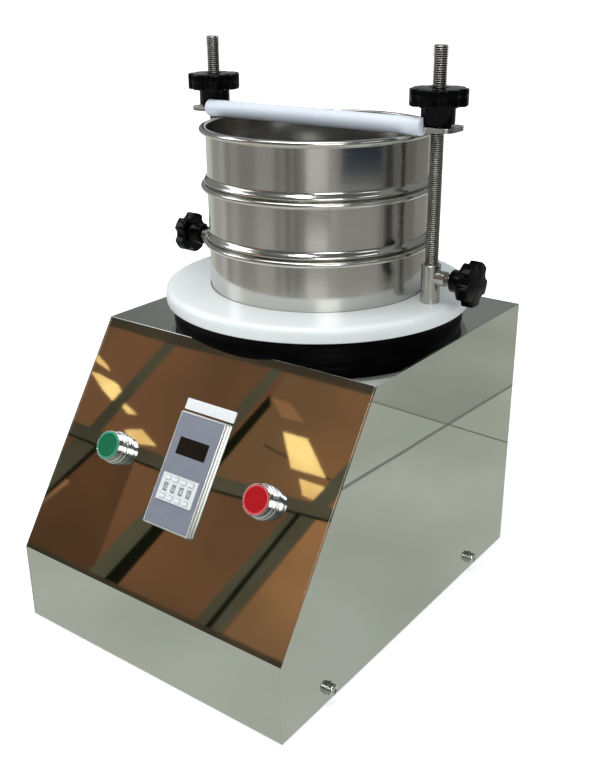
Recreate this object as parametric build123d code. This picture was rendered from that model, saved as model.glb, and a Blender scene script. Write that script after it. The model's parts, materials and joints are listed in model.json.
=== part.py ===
from build123d import *
import math
import os

# Bench-top vibrating sieve: a sloped stainless box carries a sprung nylon table
# with a vibration motor under it. A receiver pan and two test sieves stand on the
# table and are held down by a clamp bar on two threaded rods with star nuts.
# Units are millimetres. X is the width, seen from the front; -Y is the front;
# Z is up. The origin is on the floor, under the middle of the whole outline.

# Housing sheet metal
HOUSING_WIDTH = 300.0
HOUSING_DEPTH = 388.0
HOUSING_HEIGHT = 265.0
FRONT_LIP_HEIGHT = 74.5
SLOPE_RUN = 129.0
SHEET = 1.5
FOOT_DROP = 2.0
TRAY_FLANGE_HEIGHT = 26.0
SIDE_SCREW_HEIGHT = 13.0
SIDE_SCREW_FROM_FRONT = 64.5
SIDE_SCREW_FROM_BACK = 74.5
SCREW_RADIUS = 2.9
SCREW_HEAD_RADIUS = 5.4
SCREW_HEAD_HEIGHT = 3.8
FLAT_WASHER_RADIUS = 6.2
FLAT_WASHER_THICKNESS = 1.3
SPRING_WASHER_RADIUS = 5.3
SPRING_WASHER_THICKNESS = 1.5
SCREW_LENGTH = 9.0
HOLE_CLEARANCE = 0.3
FOOT_RADIUS = 14.0
FOOT_STEM_RADIUS = 4.0
FOOT_BARB_RADIUS = 5.6
FOOT_BARB_HEIGHT = 4.0
FOOT_INSET = 32.0

# Cable gland in the back panel
GLAND_REACH = 16.0
GLAND_X = -90.0
GLAND_Z = 62.0
GLAND_THREAD_RADIUS = 7.6
GLAND_BORE_RADIUS = 3.6
GLAND_HEX_RADIUS = 11.0
GLAND_HEX_THICKNESS = 5.0
GLAND_DOME_RADIUS = 9.2
GLAND_NUT_THICKNESS = 5.0

# Vibrating table
TABLE_RADIUS = 144.5
TABLE_THICKNESS = 14.0
TABLE_EDGE_ROUND = 7.0
TABLE_GAP = 17.0
PAN_RECESS_DEPTH = 3.5
RECESS_CLEARANCE = 0.5
TOP_OPENING_RADIUS = 118.0
SKIRT_OUTER_RADIUS = 138.0
SKIRT_WALL = 4.0
SKIRT_FOLD = 1.6
PLATE_RADIUS = 131.0
PLATE_THICKNESS = 6.0
DECK_DROP = 60.0
DECK_THICKNESS = 3.0
DECK_HALF_DEPTH = 118.0
DECK_FLANGE_HEIGHT = 20.0
SPRING_CIRCLE_RADIUS = 98.0
SPRING_COUNT = 4
SPRING_COIL_RADIUS = 12.0
SPRING_WIRE_RADIUS = 1.8
SPRING_TURNS = 6
SPRING_GUIDE_RADIUS = 9.4
SPRING_GUIDE_HEIGHT = 8.0

# Vibration motor, upright under the table
MOTOR_RADIUS = 62.0
MOTOR_WALL = 5.0
MOTOR_LENGTH = 150.0
MOTOR_FLANGE_RADIUS = 78.0
MOTOR_FLANGE_THICKNESS = 9.0
MOTOR_CHAMBER_DEPTH = 34.0
MOTOR_BULKHEAD = 7.0
STATOR_LENGTH = 70.0
STATOR_THICKNESS = 24.0
SHAFT_RADIUS = 9.0
ROTOR_RADIUS = 30.0
BEARING_RADIUS = 20.0
BEARING_WIDTH = 12.0
RUNNING_CLEARANCE = 0.08
WEIGHT_RADIUS = 46.0
WEIGHT_THICKNESS = 14.0
DECK_MOTOR_CLEARANCE = 12.0
BOLT_RADIUS = 4.0
BOLT_HEAD_RADIUS = 6.5
BOLT_HEAD_HEIGHT = 5.0
MOTOR_BOLT_CIRCLE_RADIUS = 71.0
MOTOR_BOLT_COUNT = 4

# Receiver pan and test sieves
SIEVE_WALL_RADIUS = 101.4
SIEVE_WALL = 0.8
SIEVE_PITCH = 50.0
SIEVE_COUNT = 2
PAN_HEIGHT = 48.5
RIM_REACH = 5.8
RIM_HEIGHT = 5.0
RIM_ROUND = 2.2
FLARE_REACH = 3.0
FLARE_HEIGHT = 8.2
FLARE_LIP = 1.6
NEST_DEPTH = 7.0
NEST_CLEARANCE = 0.5
MESH_DEPTH = 40.0
MESH_THICKNESS = 0.8
MESH_LEDGE = 3.0
MESH_CLEARANCE = 0.3

# Tie rods, sockets and lock knobs
ROD_OFFSET = 122.0
ROD_RADIUS = 6.0
ROD_TOP_ABOVE_RIM = 71.0
ROD_SLOT = 1.5
ROD_SEAT = 8.0
ROD_CLEARANCE = 0.3
SOCKET_RADIUS = 8.7
SOCKET_HEIGHT = 34.5
LOCK_HEIGHT = 23.0
LOCK_BOSS_RADIUS = 6.6
LOCK_BOSS_REACH = 15.5
LOCK_STUD_RADIUS = 4.9
LOCK_TIP_GAP = 0.3
LOCK_STUD_EXPOSED = 6.3
LOCK_HUB_RADIUS = 9.9
LOCK_HUB_LENGTH = 12.2
LOCK_STAR_RADIUS = 20.0
LOCK_STAR_THICKNESS = 12.0
LOCK_SCALLOP_RADIUS = 9.0
LOCK_SCALLOP_DEPTH = 4.4
LOCK_LOBES = 5
LOCK_LOBE_ROUND = 3.0
LEFT_LOCK_TURN = 38.0
RIGHT_LOCK_TURN = 16.0

# Clamp: flat steel strip, nylon bar on its front edge, and star nuts
STRIP_WIDTH = 30.0
STRIP_THICKNESS = 4.0
STRIP_OVERHANG = 19.5
STRIP_CORNER = 8.0
STRIP_ABOVE_RIM = 3.5
BAR_RADIUS = 7.5
BAR_ABOVE_RIM = 0.3
BAR_END_GAP = 5.7
BAR_FORWARD = 14.5
BAR_SLOT_CLEARANCE = 0.1
BAR_HUB_CLEARANCE = 0.8
BAR_DIMPLE_RADIUS = 1.4
BAR_DIMPLE_DEPTH = 1.2
NUT_SPIGOT_RADIUS = 11.5
NUT_SPIGOT_HEIGHT = 1.5
NUT_HUB_RADIUS = 14.4
NUT_HUB_HEIGHT = 14.5
NUT_STAR_RADIUS = 24.5
NUT_STAR_HEIGHT = 15.2
NUT_SCALLOP_RADIUS = 6.5
NUT_SCALLOP_DEPTH = 2.8
NUT_BORE_CLEARANCE = 0.1
LEFT_NUT_TURN = -40.0
RIGHT_NUT_TURN = -35.0
NUT_LOBES = 7
NUT_LOBE_ROUND = 1.8
KNOB_EDGE_ROUND = 1.4

# Push buttons on the slope
START_FROM_SIDE = 65.4
STOP_FROM_SIDE = 64.1
BUTTON_UP_SLOPE = 114.6
BUTTON_RING_RADIUS = 15.0
BUTTON_RING_HEIGHT = 3.5
BUTTON_COLLAR_RADIUS = 14.2
BUTTON_COLLAR_HEIGHT = 3.6
BUTTON_BARREL_RADIUS = 13.3
BUTTON_HEIGHT = 13.5
BUTTON_WALL = 0.7
BUTTON_STEM_RADIUS = 10.9
BUTTON_STEM_LENGTH = 34.0
BUTTON_FLOOR_HEIGHT = 1.5
CAP_CLEARANCE = 0.2
CAP_PROUD = 0.7
CAP_TRAVEL = 3.5
CAP_DISH_INSET = 1.5
CAP_DISH_DEPTH = 0.5
PLUNGER_RADIUS = 5.0
PLUNGER_LENGTH = 26.0
BUTTON_NUT_RADIUS = 15.5
BUTTON_NUT_THICKNESS = 5.0
CONTACT_WIDTH = 30.0
CONTACT_HEIGHT = 20.0
CONTACT_DEPTH = 26.0

# Timer on the slope
TIMER_X = 1.1
TIMER_UP_SLOPE = 114.6
BEZEL_WIDTH = 52.0
BEZEL_HEIGHT = 102.0
BEZEL_RISE = 5.5
BEZEL_ROUND = 1.4
BEZEL_RIM = 1.7
FACE_THICKNESS = 1.0
FACE_SINK = 0.2
CASE_MARGIN = 3.7
CASE_WALL = 1.6
CASE_DEPTH = 68.0
PANEL_HOLE_CLEARANCE = 0.2
WINDOW_WIDTH = 32.8
WINDOW_HEIGHT = 15.1
WINDOW_UP = 21.2
WINDOW_SINK = 0.2
INSERT_FLANGE = 1.5
INSERT_CLEARANCE = 0.2
FLANGE_THICKNESS = 1.1
WHEEL_BLOCK_WIDTH = 40.0
WHEEL_BLOCK_HEIGHT = 24.0
WHEEL_BLOCK_UP = -16.1
WHEEL_BLOCK_PROUD = 1.0
WHEEL_BLOCK_DEPTH = 11.0
WHEEL_FRONT_WALL = 1.2
WHEEL_COUNT = 4
WHEEL_PITCH = 8.8
WHEEL_CAVITY_WIDTH = 6.8
WHEEL_CAVITY_HEIGHT = 21.6
WHEEL_RADIUS = 7.4
WHEEL_WIDTH = 5.8
WHEEL_SIDES = 10
WHEEL_AXLE_RADIUS = 1.5
WHEEL_GAP = 0.4
DIGIT_WINDOW_WIDTH = 5.0
DIGIT_WINDOW_HEIGHT = 7.2
TAB_WIDTH = 5.2
TAB_HEIGHT = 3.6
TAB_OFFSET = 8.2
TAB_PROUD = 1.3
TAB_CLEARANCE = 0.25
TAB_FLANGE = 0.5
TAB_FLANGE_THICKNESS = 1.0

# Blank name plate above the timer
NAME_PLATE_WIDTH = 55.7
NAME_PLATE_HEIGHT = 10.0
NAME_PLATE_THICKNESS = 0.7
NAME_PLATE_X = 1.9
NAME_PLATE_UP_SLOPE = 172.7

# Places worked out from the sizes above
FRONT_Y = -(HOUSING_DEPTH + GLAND_REACH) / 2
BACK_Y = FRONT_Y + HOUSING_DEPTH
BOTTOM_Z = FOOT_DROP
TOP_Z = BOTTOM_Z + HOUSING_HEIGHT
LIP_Z = BOTTOM_Z + FRONT_LIP_HEIGHT
SLOPE_TOP_Y = FRONT_Y + SLOPE_RUN
TABLE_Y = (SLOPE_TOP_Y + BACK_Y) / 2
INNER_HALF_WIDTH = HOUSING_WIDTH / 2 - SHEET
START_X = START_FROM_SIDE - HOUSING_WIDTH / 2
STOP_X = HOUSING_WIDTH / 2 - STOP_FROM_SIDE
SLOPE_RISE = TOP_Z - LIP_Z
SLOPE_LENGTH = math.hypot(SLOPE_RUN, SLOPE_RISE)
SLOPE_NORMAL = Vector(0, -SLOPE_RISE / SLOPE_LENGTH, SLOPE_RUN / SLOPE_LENGTH)
SLOPE_UP = Vector(0, SLOPE_RUN / SLOPE_LENGTH, SLOPE_RISE / SLOPE_LENGTH)
TABLE_BOTTOM_Z = TOP_Z + TABLE_GAP
TABLE_TOP_Z = TABLE_BOTTOM_Z + TABLE_THICKNESS
PLATE_BOTTOM_Z = TABLE_BOTTOM_Z - PLATE_THICKNESS
DECK_TOP_Z = TOP_Z - DECK_DROP
PAN_BOTTOM_Z = TABLE_TOP_Z - PAN_RECESS_DEPTH
PAN_RIM_Z = PAN_BOTTOM_Z + PAN_HEIGHT
TOP_RIM_Z = PAN_RIM_Z + SIEVE_COUNT * SIEVE_PITCH
ROD_TOP_Z = TOP_RIM_Z + ROD_TOP_ABOVE_RIM
STRIP_BOTTOM_Z = TOP_RIM_Z + STRIP_ABOVE_RIM
STRIP_TOP_Z = STRIP_BOTTOM_Z + STRIP_THICKNESS
BAR_Z = TOP_RIM_Z + BAR_ABOVE_RIM + BAR_RADIUS
LOCK_Z = TABLE_TOP_Z + LOCK_HEIGHT
MOTOR_TOP_Z = PLATE_BOTTOM_Z
MOTOR_BOTTOM_Z = MOTOR_TOP_Z - MOTOR_LENGTH
SIDES = (-1, 1)

LOW = (Align.CENTER, Align.CENTER, Align.MIN)
HIGH = (Align.CENTER, Align.CENTER, Align.MAX)


def save(shape, name):
    """Write one sub-part as a STEP file named after its node."""
    export_step(shape, f"parts/{name}.step")


def group(solids):
    """Join separate solids into one node without fusing them."""
    return Compound(children=list(solids))


def rod(radius, low, high):
    """Upright cylinder between two heights on the Z axis."""
    return Pos(0, 0, low) * Cylinder(radius, high - low, align=LOW)


def ring(outer, inner, low, high):
    """Upright tube between two heights on the Z axis."""
    return rod(outer, low, high) - rod(inner, low - 1, high + 1)


def block(width, height, low, high):
    """Box centred on the Z axis between two heights."""
    return Pos(0, 0, low) * Box(width, height, high - low, align=LOW)


def turned(points):
    """Solid of revolution about Z from a closed outline of (radius, height) points."""
    outline = make_face(Polyline(*[(r, 0, z) for r, z in points], close=True))
    return revolve(outline, Axis.Z)


def slope_plane(x, up_slope):
    """Plane on the slope's outer face: x across, y up the slope, z out of the panel."""
    foot = Vector(x, FRONT_Y, LIP_Z) + SLOPE_UP * up_slope
    return Plane(origin=foot, x_dir=(1, 0, 0), z_dir=SLOPE_NORMAL)


def at_table(shape):
    """Move a shape modelled about the Z axis to the table's axis."""
    return Pos(0, TABLE_Y, 0) * shape


def around(radius, count, first_angle, make_one):
    """Copies of one shape, evenly spaced on a circle about the Z axis."""
    copies = []
    for i in range(count):
        angle = first_angle + i * 360.0 / count
        x = radius * math.cos(math.radians(angle))
        y = radius * math.sin(math.radians(angle))
        copies.append(Pos(x, y, 0) * make_one())
    return copies


def star(radius, scallop_radius, scallop_depth, thickness, lobes, lobe_round, turn):
    """Star handle with round-bottomed scallops between its lobes, standing on Z = 0."""
    reach = radius - scallop_depth + scallop_radius
    outline = Circle(radius)
    for i in range(lobes):
        angle = math.radians(turn + (i + 0.5) * 360.0 / lobes)
        outline -= Pos(reach * math.cos(angle), reach * math.sin(angle)) * Circle(scallop_radius)
    outline = fillet(outline.vertices(), lobe_round)
    body = extrude(outline, thickness)
    flat_edges = body.edges().filter_by(lambda e: abs(e.bounding_box().size.Z) < 0.01)
    return fillet(flat_edges, KNOB_EDGE_ROUND)


def housing_outline(inset):
    """Side outline of the box, moved inwards, on the YZ plane at X = 0."""
    half_turn_low = math.tan((math.pi / 2 - math.atan2(SLOPE_RISE, SLOPE_RUN)) / 2)
    half_turn_high = math.tan(math.atan2(SLOPE_RISE, SLOPE_RUN) / 2)
    points = [
        (0, FRONT_Y + inset, BOTTOM_Z),
        (0, FRONT_Y + inset, LIP_Z - inset * half_turn_low),
        (0, SLOPE_TOP_Y + inset * half_turn_high, TOP_Z - inset),
        (0, BACK_Y - inset, TOP_Z - inset),
        (0, BACK_Y - inset, BOTTOM_Z),
    ]
    return make_face(Polyline(*points, close=True))


def make_wrap_panel():
    """One folded sheet: low front, slope, top and back, with all its holes."""
    outer = extrude(housing_outline(0.0), INNER_HALF_WIDTH, dir=(1, 0, 0), both=True)
    inner = extrude(housing_outline(SHEET), HOUSING_WIDTH, dir=(1, 0, 0), both=True)
    panel = outer - inner
    panel -= at_table(rod(TOP_OPENING_RADIUS, TOP_Z - 2 * SHEET, TOP_Z + SHEET))
    case_hole = block(case_width() + 2 * PANEL_HOLE_CLEARANCE,
                      case_height() + 2 * PANEL_HOLE_CLEARANCE, -3 * SHEET, SHEET)
    panel -= slope_plane(TIMER_X, TIMER_UP_SLOPE) * case_hole
    button_hole = rod(BUTTON_STEM_RADIUS + HOLE_CLEARANCE, -3 * SHEET, SHEET)
    for x in (START_X, STOP_X):
        panel -= slope_plane(x, BUTTON_UP_SLOPE) * button_hole
    gland_hole = rod(GLAND_THREAD_RADIUS + HOLE_CLEARANCE, -3 * SHEET, SHEET)
    panel -= gland_plane() * gland_hole
    return panel


def screw_places():
    """Heights and depths of the two side screws on each side."""
    height = BOTTOM_Z + SIDE_SCREW_HEIGHT
    return [(FRONT_Y + SIDE_SCREW_FROM_FRONT, height), (BACK_Y - SIDE_SCREW_FROM_BACK, height)]


def side_plane(side, y, z):
    """Plane on a side panel's outer face, with z pointing away from the box."""
    return Plane(origin=(side * HOUSING_WIDTH / 2, y, z), x_dir=(0, 1, 0), z_dir=(side, 0, 0))


def make_side_panel(side):
    """Flat side sheet with its two screw holes."""
    panel = Pos(side * INNER_HALF_WIDTH, 0, 0) * extrude(housing_outline(0.0), SHEET, dir=(side, 0, 0))
    for y, z in screw_places():
        panel -= side_plane(side, y, z) * rod(SCREW_RADIUS + HOLE_CLEARANCE, -3 * SHEET, SHEET)
    return panel


def foot_places():
    """Centres of the four rubber feet."""
    x = HOUSING_WIDTH / 2 - FOOT_INSET
    return [(sx * x, y) for sx in SIDES for y in (FRONT_Y + FOOT_INSET, BACK_Y - FOOT_INSET)]


def make_base_tray():
    """Bottom sheet with an upturned flange along each side panel."""
    depth = HOUSING_DEPTH - 2 * SHEET
    middle_y = (FRONT_Y + BACK_Y) / 2
    tray = Pos(0, middle_y, BOTTOM_Z) * Box(2 * INNER_HALF_WIDTH, depth, SHEET, align=LOW)
    for side in SIDES:
        x = side * (INNER_HALF_WIDTH - SHEET / 2)
        tray += Pos(x, middle_y, BOTTOM_Z) * Box(SHEET, depth, TRAY_FLANGE_HEIGHT, align=LOW)
        for y, z in screw_places():
            tray -= side_plane(side, y, z) * rod(SCREW_RADIUS + HOLE_CLEARANCE, -4 * SHEET, SHEET)
    for x, y in foot_places():
        tray -= Pos(x, y, 0) * rod(FOOT_STEM_RADIUS + HOLE_CLEARANCE, 0, BOTTOM_Z + 2 * SHEET)
    return tray


def make_side_screw():
    """Pan-head screw standing on the panel's outer face, with a cross recess."""
    seat = FLAT_WASHER_THICKNESS + SPRING_WASHER_THICKNESS
    head = rod(SCREW_HEAD_RADIUS, seat, seat + SCREW_HEAD_HEIGHT)
    head = fillet(head.edges().sort_by(Axis.Z)[-1], SCREW_HEAD_HEIGHT * 0.6)
    top = seat + SCREW_HEAD_HEIGHT
    for turn in (0, 90):
        head -= Rot(0, 0, turn) * block(SCREW_HEAD_RADIUS, SCREW_HEAD_RADIUS * 0.22, top - 2.0, top + 1)
    return head + rod(SCREW_RADIUS, seat - SCREW_LENGTH, seat)


def make_side_washers():
    """Flat washer and spring washer under one screw head."""
    bore = SCREW_RADIUS + HOLE_CLEARANCE
    flat = ring(FLAT_WASHER_RADIUS, bore, 0, FLAT_WASHER_THICKNESS)
    top = FLAT_WASHER_THICKNESS + SPRING_WASHER_THICKNESS
    spring = ring(SPRING_WASHER_RADIUS, bore, FLAT_WASHER_THICKNESS, top)
    spring -= Rot(0, 0, 35) * Pos(SPRING_WASHER_RADIUS, 0, 0) * block(
        SPRING_WASHER_RADIUS, 0.8, FLAT_WASHER_THICKNESS - 1, top + 1)
    return [flat, spring]


def make_foot():
    """Push-in rubber foot: pad, stem through the tray and a barb above it."""
    barb_low = BOTTOM_Z + SHEET
    barb_high = barb_low + FOOT_BARB_HEIGHT
    return turned([
        (0, 0), (FOOT_RADIUS - 0.6, 0), (FOOT_RADIUS, 0.6), (FOOT_RADIUS, BOTTOM_Z),
        (FOOT_STEM_RADIUS, BOTTOM_Z), (FOOT_STEM_RADIUS, barb_low),
        (FOOT_BARB_RADIUS, barb_low), (FOOT_STEM_RADIUS, barb_high), (0, barb_high)])


def gland_plane():
    """Plane on the back panel's outer face at the cable gland, z pointing back."""
    return Plane(origin=(GLAND_X, BACK_Y, BOTTOM_Z + GLAND_Z), x_dir=(-1, 0, 0), z_dir=(0, 1, 0))


def make_cable_gland():
    """Gland body with its domed cap, and the nut inside the box."""
    hexagon = extrude(RegularPolygon(GLAND_HEX_RADIUS, 6), GLAND_HEX_THICKNESS)
    dome = rod(GLAND_DOME_RADIUS, GLAND_HEX_THICKNESS, GLAND_REACH)
    dome = fillet(dome.edges().sort_by(Axis.Z)[-1], GLAND_DOME_RADIUS * 0.4)
    thread_end = -SHEET - GLAND_NUT_THICKNESS - 2.0
    body = hexagon + dome + rod(GLAND_THREAD_RADIUS, thread_end, 0)
    body -= rod(GLAND_BORE_RADIUS, thread_end - 1, GLAND_REACH + 1)
    nut = Pos(0, 0, -SHEET - GLAND_NUT_THICKNESS) * extrude(
        RegularPolygon(GLAND_HEX_RADIUS, 6), GLAND_NUT_THICKNESS)
    nut -= rod(GLAND_THREAD_RADIUS + RUNNING_CLEARANCE, -SHEET - 2 * GLAND_NUT_THICKNESS, 0)
    return group([gland_plane() * body, gland_plane() * nut])


def make_spring_deck():
    """Inner plate that carries the springs, welded to both side panels by its flanges."""
    half_width = INNER_HALF_WIDTH
    low = DECK_TOP_Z - DECK_THICKNESS
    deck = Pos(0, 0, low) * Box(2 * half_width, 2 * DECK_HALF_DEPTH, DECK_THICKNESS, align=LOW)
    for side in SIDES:
        x = side * (half_width - DECK_THICKNESS / 2)
        deck += Pos(x, 0, low) * Box(DECK_THICKNESS, 2 * DECK_HALF_DEPTH, DECK_FLANGE_HEIGHT, align=LOW)
    deck -= rod(MOTOR_RADIUS + DECK_MOTOR_CLEARANCE, low - 1, DECK_TOP_Z + 1)
    guides = around(SPRING_CIRCLE_RADIUS, SPRING_COUNT, 45,
                    lambda: rod(SPRING_GUIDE_RADIUS, DECK_TOP_Z, DECK_TOP_Z + SPRING_GUIDE_HEIGHT))
    for guide in guides:
        deck += guide
    return at_table(deck)


def make_spring():
    """Compression spring between the deck and the motor plate."""
    low = DECK_TOP_Z + SPRING_WIRE_RADIUS
    high = PLATE_BOTTOM_Z - SPRING_WIRE_RADIUS
    pitch = (high - low) / SPRING_TURNS
    path = Pos(0, 0, low) * Helix(pitch, high - low, SPRING_COIL_RADIUS)
    section = Plane(origin=path @ 0, z_dir=path % 0) * Circle(SPRING_WIRE_RADIUS)
    return sweep(section, path=path, is_frenet=True)


def make_skirt():
    """Rubber skirt with one shallow fold, closing the gap under the table."""
    outer = SKIRT_OUTER_RADIUS
    inner = outer - SKIRT_WALL
    middle = (TOP_Z + TABLE_BOTTOM_Z) / 2
    return turned([
        (inner, TOP_Z), (outer, TOP_Z), (outer, TOP_Z + SKIRT_WALL),
        (outer - SKIRT_FOLD, middle), (outer, TABLE_BOTTOM_Z - SKIRT_WALL),
        (outer, TABLE_BOTTOM_Z), (inner, TABLE_BOTTOM_Z),
        (inner - SKIRT_FOLD, middle)])


def bolt_holes():
    """Clearance holes for the motor bolts and the socket bolts, through table and plate."""
    low = MOTOR_TOP_Z - MOTOR_FLANGE_THICKNESS - 1
    hole_radius = BOLT_RADIUS + HOLE_CLEARANCE
    holes = around(MOTOR_BOLT_CIRCLE_RADIUS, MOTOR_BOLT_COUNT, 45,
                   lambda: rod(hole_radius, low, TABLE_TOP_Z + 1))
    holes += [Pos(side * ROD_OFFSET, 0, 0) * rod(hole_radius, low, TABLE_TOP_Z) for side in SIDES]
    return holes


def make_table_disc():
    """Nylon table with a rounded top edge and a shallow recess that seats the pan."""
    disc = rod(TABLE_RADIUS, TABLE_BOTTOM_Z, TABLE_TOP_Z)
    disc = fillet(disc.edges().sort_by(Axis.Z)[-1], TABLE_EDGE_ROUND)
    disc = chamfer(disc.edges().filter_by(GeomType.CIRCLE).sort_by(Axis.Z)[0], 1.0)
    disc -= rod(SIEVE_WALL_RADIUS + RECESS_CLEARANCE, PAN_BOTTOM_Z, TABLE_TOP_Z + 1)
    for hole in bolt_holes():
        disc -= hole
    sink = rod(BOLT_HEAD_RADIUS + HOLE_CLEARANCE, PAN_BOTTOM_Z - BOLT_HEAD_HEIGHT, TABLE_TOP_Z)
    for pocket in around(MOTOR_BOLT_CIRCLE_RADIUS, MOTOR_BOLT_COUNT, 45, lambda: sink):
        disc -= pocket
    return at_table(disc)


def make_motor_plate():
    """Steel plate under the table, with guides for the spring tops."""
    plate = rod(PLATE_RADIUS, PLATE_BOTTOM_Z, TABLE_BOTTOM_Z)
    for hole in bolt_holes():
        plate -= hole
    guides = around(SPRING_CIRCLE_RADIUS, SPRING_COUNT, 45,
                    lambda: rod(SPRING_GUIDE_RADIUS, PLATE_BOTTOM_Z - SPRING_GUIDE_HEIGHT, PLATE_BOTTOM_Z))
    for guide in guides:
        plate += guide
    return at_table(plate)


def make_table_bolts():
    """Four bolts that hang the motor and two that hold the rod sockets."""
    head_low = PAN_BOTTOM_Z - BOLT_HEAD_HEIGHT
    low = MOTOR_TOP_Z - MOTOR_FLANGE_THICKNESS

    def motor_bolt():
        bolt = rod(BOLT_HEAD_RADIUS, head_low, PAN_BOTTOM_Z - HOLE_CLEARANCE) + rod(BOLT_RADIUS, low, head_low)
        return bolt - block(BOLT_RADIUS, BOLT_RADIUS, head_low + 2.0, PAN_BOTTOM_Z)

    def socket_bolt():
        head = rod(BOLT_HEAD_RADIUS, PLATE_BOTTOM_Z - BOLT_HEAD_HEIGHT, PLATE_BOTTOM_Z)
        return head + rod(BOLT_RADIUS, PLATE_BOTTOM_Z, TABLE_TOP_Z + ROD_SEAT - HOLE_CLEARANCE)

    bolts = around(MOTOR_BOLT_CIRCLE_RADIUS, MOTOR_BOLT_COUNT, 45, motor_bolt)
    bolts += [Pos(side * ROD_OFFSET, 0, 0) * socket_bolt() for side in SIDES]
    return group(at_table(bolt) for bolt in bolts)


def make_rod_socket(side):
    """Tube on the table that takes a tie rod, with a side boss for the lock stud."""
    bore = ROD_RADIUS + ROD_CLEARANCE
    tube = rod(SOCKET_RADIUS, TABLE_TOP_Z, TABLE_TOP_Z + SOCKET_HEIGHT)
    tube = chamfer(tube.edges().sort_by(Axis.Z)[-1], 0.6)
    boss_plane = Plane(origin=(0, 0, LOCK_Z), x_dir=(0, 1, 0), z_dir=(side, 0, 0))
    tube += boss_plane * rod(LOCK_BOSS_RADIUS, 0, LOCK_BOSS_REACH)
    tube -= rod(bore, TABLE_TOP_Z + ROD_SEAT, TABLE_TOP_Z + SOCKET_HEIGHT + 1)
    tube -= rod(BOLT_RADIUS + RUNNING_CLEARANCE, TABLE_TOP_Z - 1, TABLE_TOP_Z + ROD_SEAT + 1)
    tube -= boss_plane * rod(LOCK_STUD_RADIUS + RUNNING_CLEARANCE, 0, LOCK_BOSS_REACH + 1)
    return Pos(side * ROD_OFFSET, TABLE_Y, 0) * tube


def make_motor_casing():
    """Motor shell with a mounting flange, a chamber for the upper weight and bearing walls."""
    low, high = MOTOR_BOTTOM_Z, MOTOR_TOP_Z
    bulkhead_high = high - MOTOR_CHAMBER_DEPTH
    bulkhead_low = bulkhead_high - MOTOR_BULKHEAD
    inner = MOTOR_RADIUS - MOTOR_WALL
    casing = rod(MOTOR_RADIUS, low, high)
    casing += rod(MOTOR_FLANGE_RADIUS, high - MOTOR_FLANGE_THICKNESS, high)
    casing -= rod(inner, bulkhead_high, high + 1)
    casing -= rod(inner, low + MOTOR_BULKHEAD, bulkhead_low)
    casing -= rod(SHAFT_RADIUS + 1.5, low - 1, high)
    for seat_low in bearing_places():
        casing += ring(BEARING_RADIUS + MOTOR_WALL, BEARING_RADIUS, seat_low, seat_low + BEARING_WIDTH)
    for hole in bolt_holes():
        casing -= hole
    return at_table(casing)


def bearing_places():
    """Lower faces of the two bearings, each against its bearing wall."""
    bulkhead_low = MOTOR_TOP_Z - MOTOR_CHAMBER_DEPTH - MOTOR_BULKHEAD
    return [MOTOR_BOTTOM_Z + MOTOR_BULKHEAD, bulkhead_low - BEARING_WIDTH]


def make_bearings():
    """Two ball bearings, drawn as plain rings."""
    rings = [ring(BEARING_RADIUS, SHAFT_RADIUS + RUNNING_CLEARANCE, low, low + BEARING_WIDTH)
             for low in bearing_places()]
    return group(at_table(r) for r in rings)


def make_stator():
    """Laminated stator ring inside the motor shell."""
    middle = sum(bearing_places()) / 2 + BEARING_WIDTH / 2
    outer = MOTOR_RADIUS - MOTOR_WALL
    return at_table(ring(outer, outer - STATOR_THICKNESS, middle - STATOR_LENGTH / 2, middle + STATOR_LENGTH / 2))


def weight_places():
    """Lower faces of the upper and the lower eccentric weight."""
    return [MOTOR_TOP_Z - MOTOR_CHAMBER_DEPTH + 8.0, MOTOR_BOTTOM_Z - WEIGHT_THICKNESS - 4.0]


def make_motor_shaft():
    """Shaft with the rotor core between the bearings."""
    upper, lower = weight_places()
    shaft = rod(SHAFT_RADIUS, lower - 3.0, upper + WEIGHT_THICKNESS + 3.0)
    middle = sum(bearing_places()) / 2 + BEARING_WIDTH / 2
    core = rod(ROTOR_RADIUS, middle - STATOR_LENGTH / 2, middle + STATOR_LENGTH / 2)
    return at_table(shaft + core)


def make_weights():
    """Half-round eccentric weights at both ends of the shaft."""
    weights = []
    for low in weight_places():
        disc = ring(WEIGHT_RADIUS, SHAFT_RADIUS, low, low + WEIGHT_THICKNESS)
        keep = Pos(0, WEIGHT_RADIUS - SHAFT_RADIUS - 4.0, 0) * block(
            3 * WEIGHT_RADIUS, 2 * WEIGHT_RADIUS, low - 1, low + WEIGHT_THICKNESS + 1)
        weights.append(at_table(disc & keep))
    return group(weights)


def rim_points(top):
    """Outer half of a rolled rim, from its inner top corner down to the wall."""
    inner = SIEVE_WALL_RADIUS - SIEVE_WALL
    outer = SIEVE_WALL_RADIUS + RIM_REACH
    r = RIM_ROUND
    low = top - RIM_HEIGHT
    return [(inner, top), (outer - r, top), (outer - 0.3 * r, top - 0.3 * r), (outer, top - r),
            (outer, low + r), (outer - 0.3 * r, low + 0.3 * r), (outer - r, low), (SIEVE_WALL_RADIUS, low)]


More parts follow.
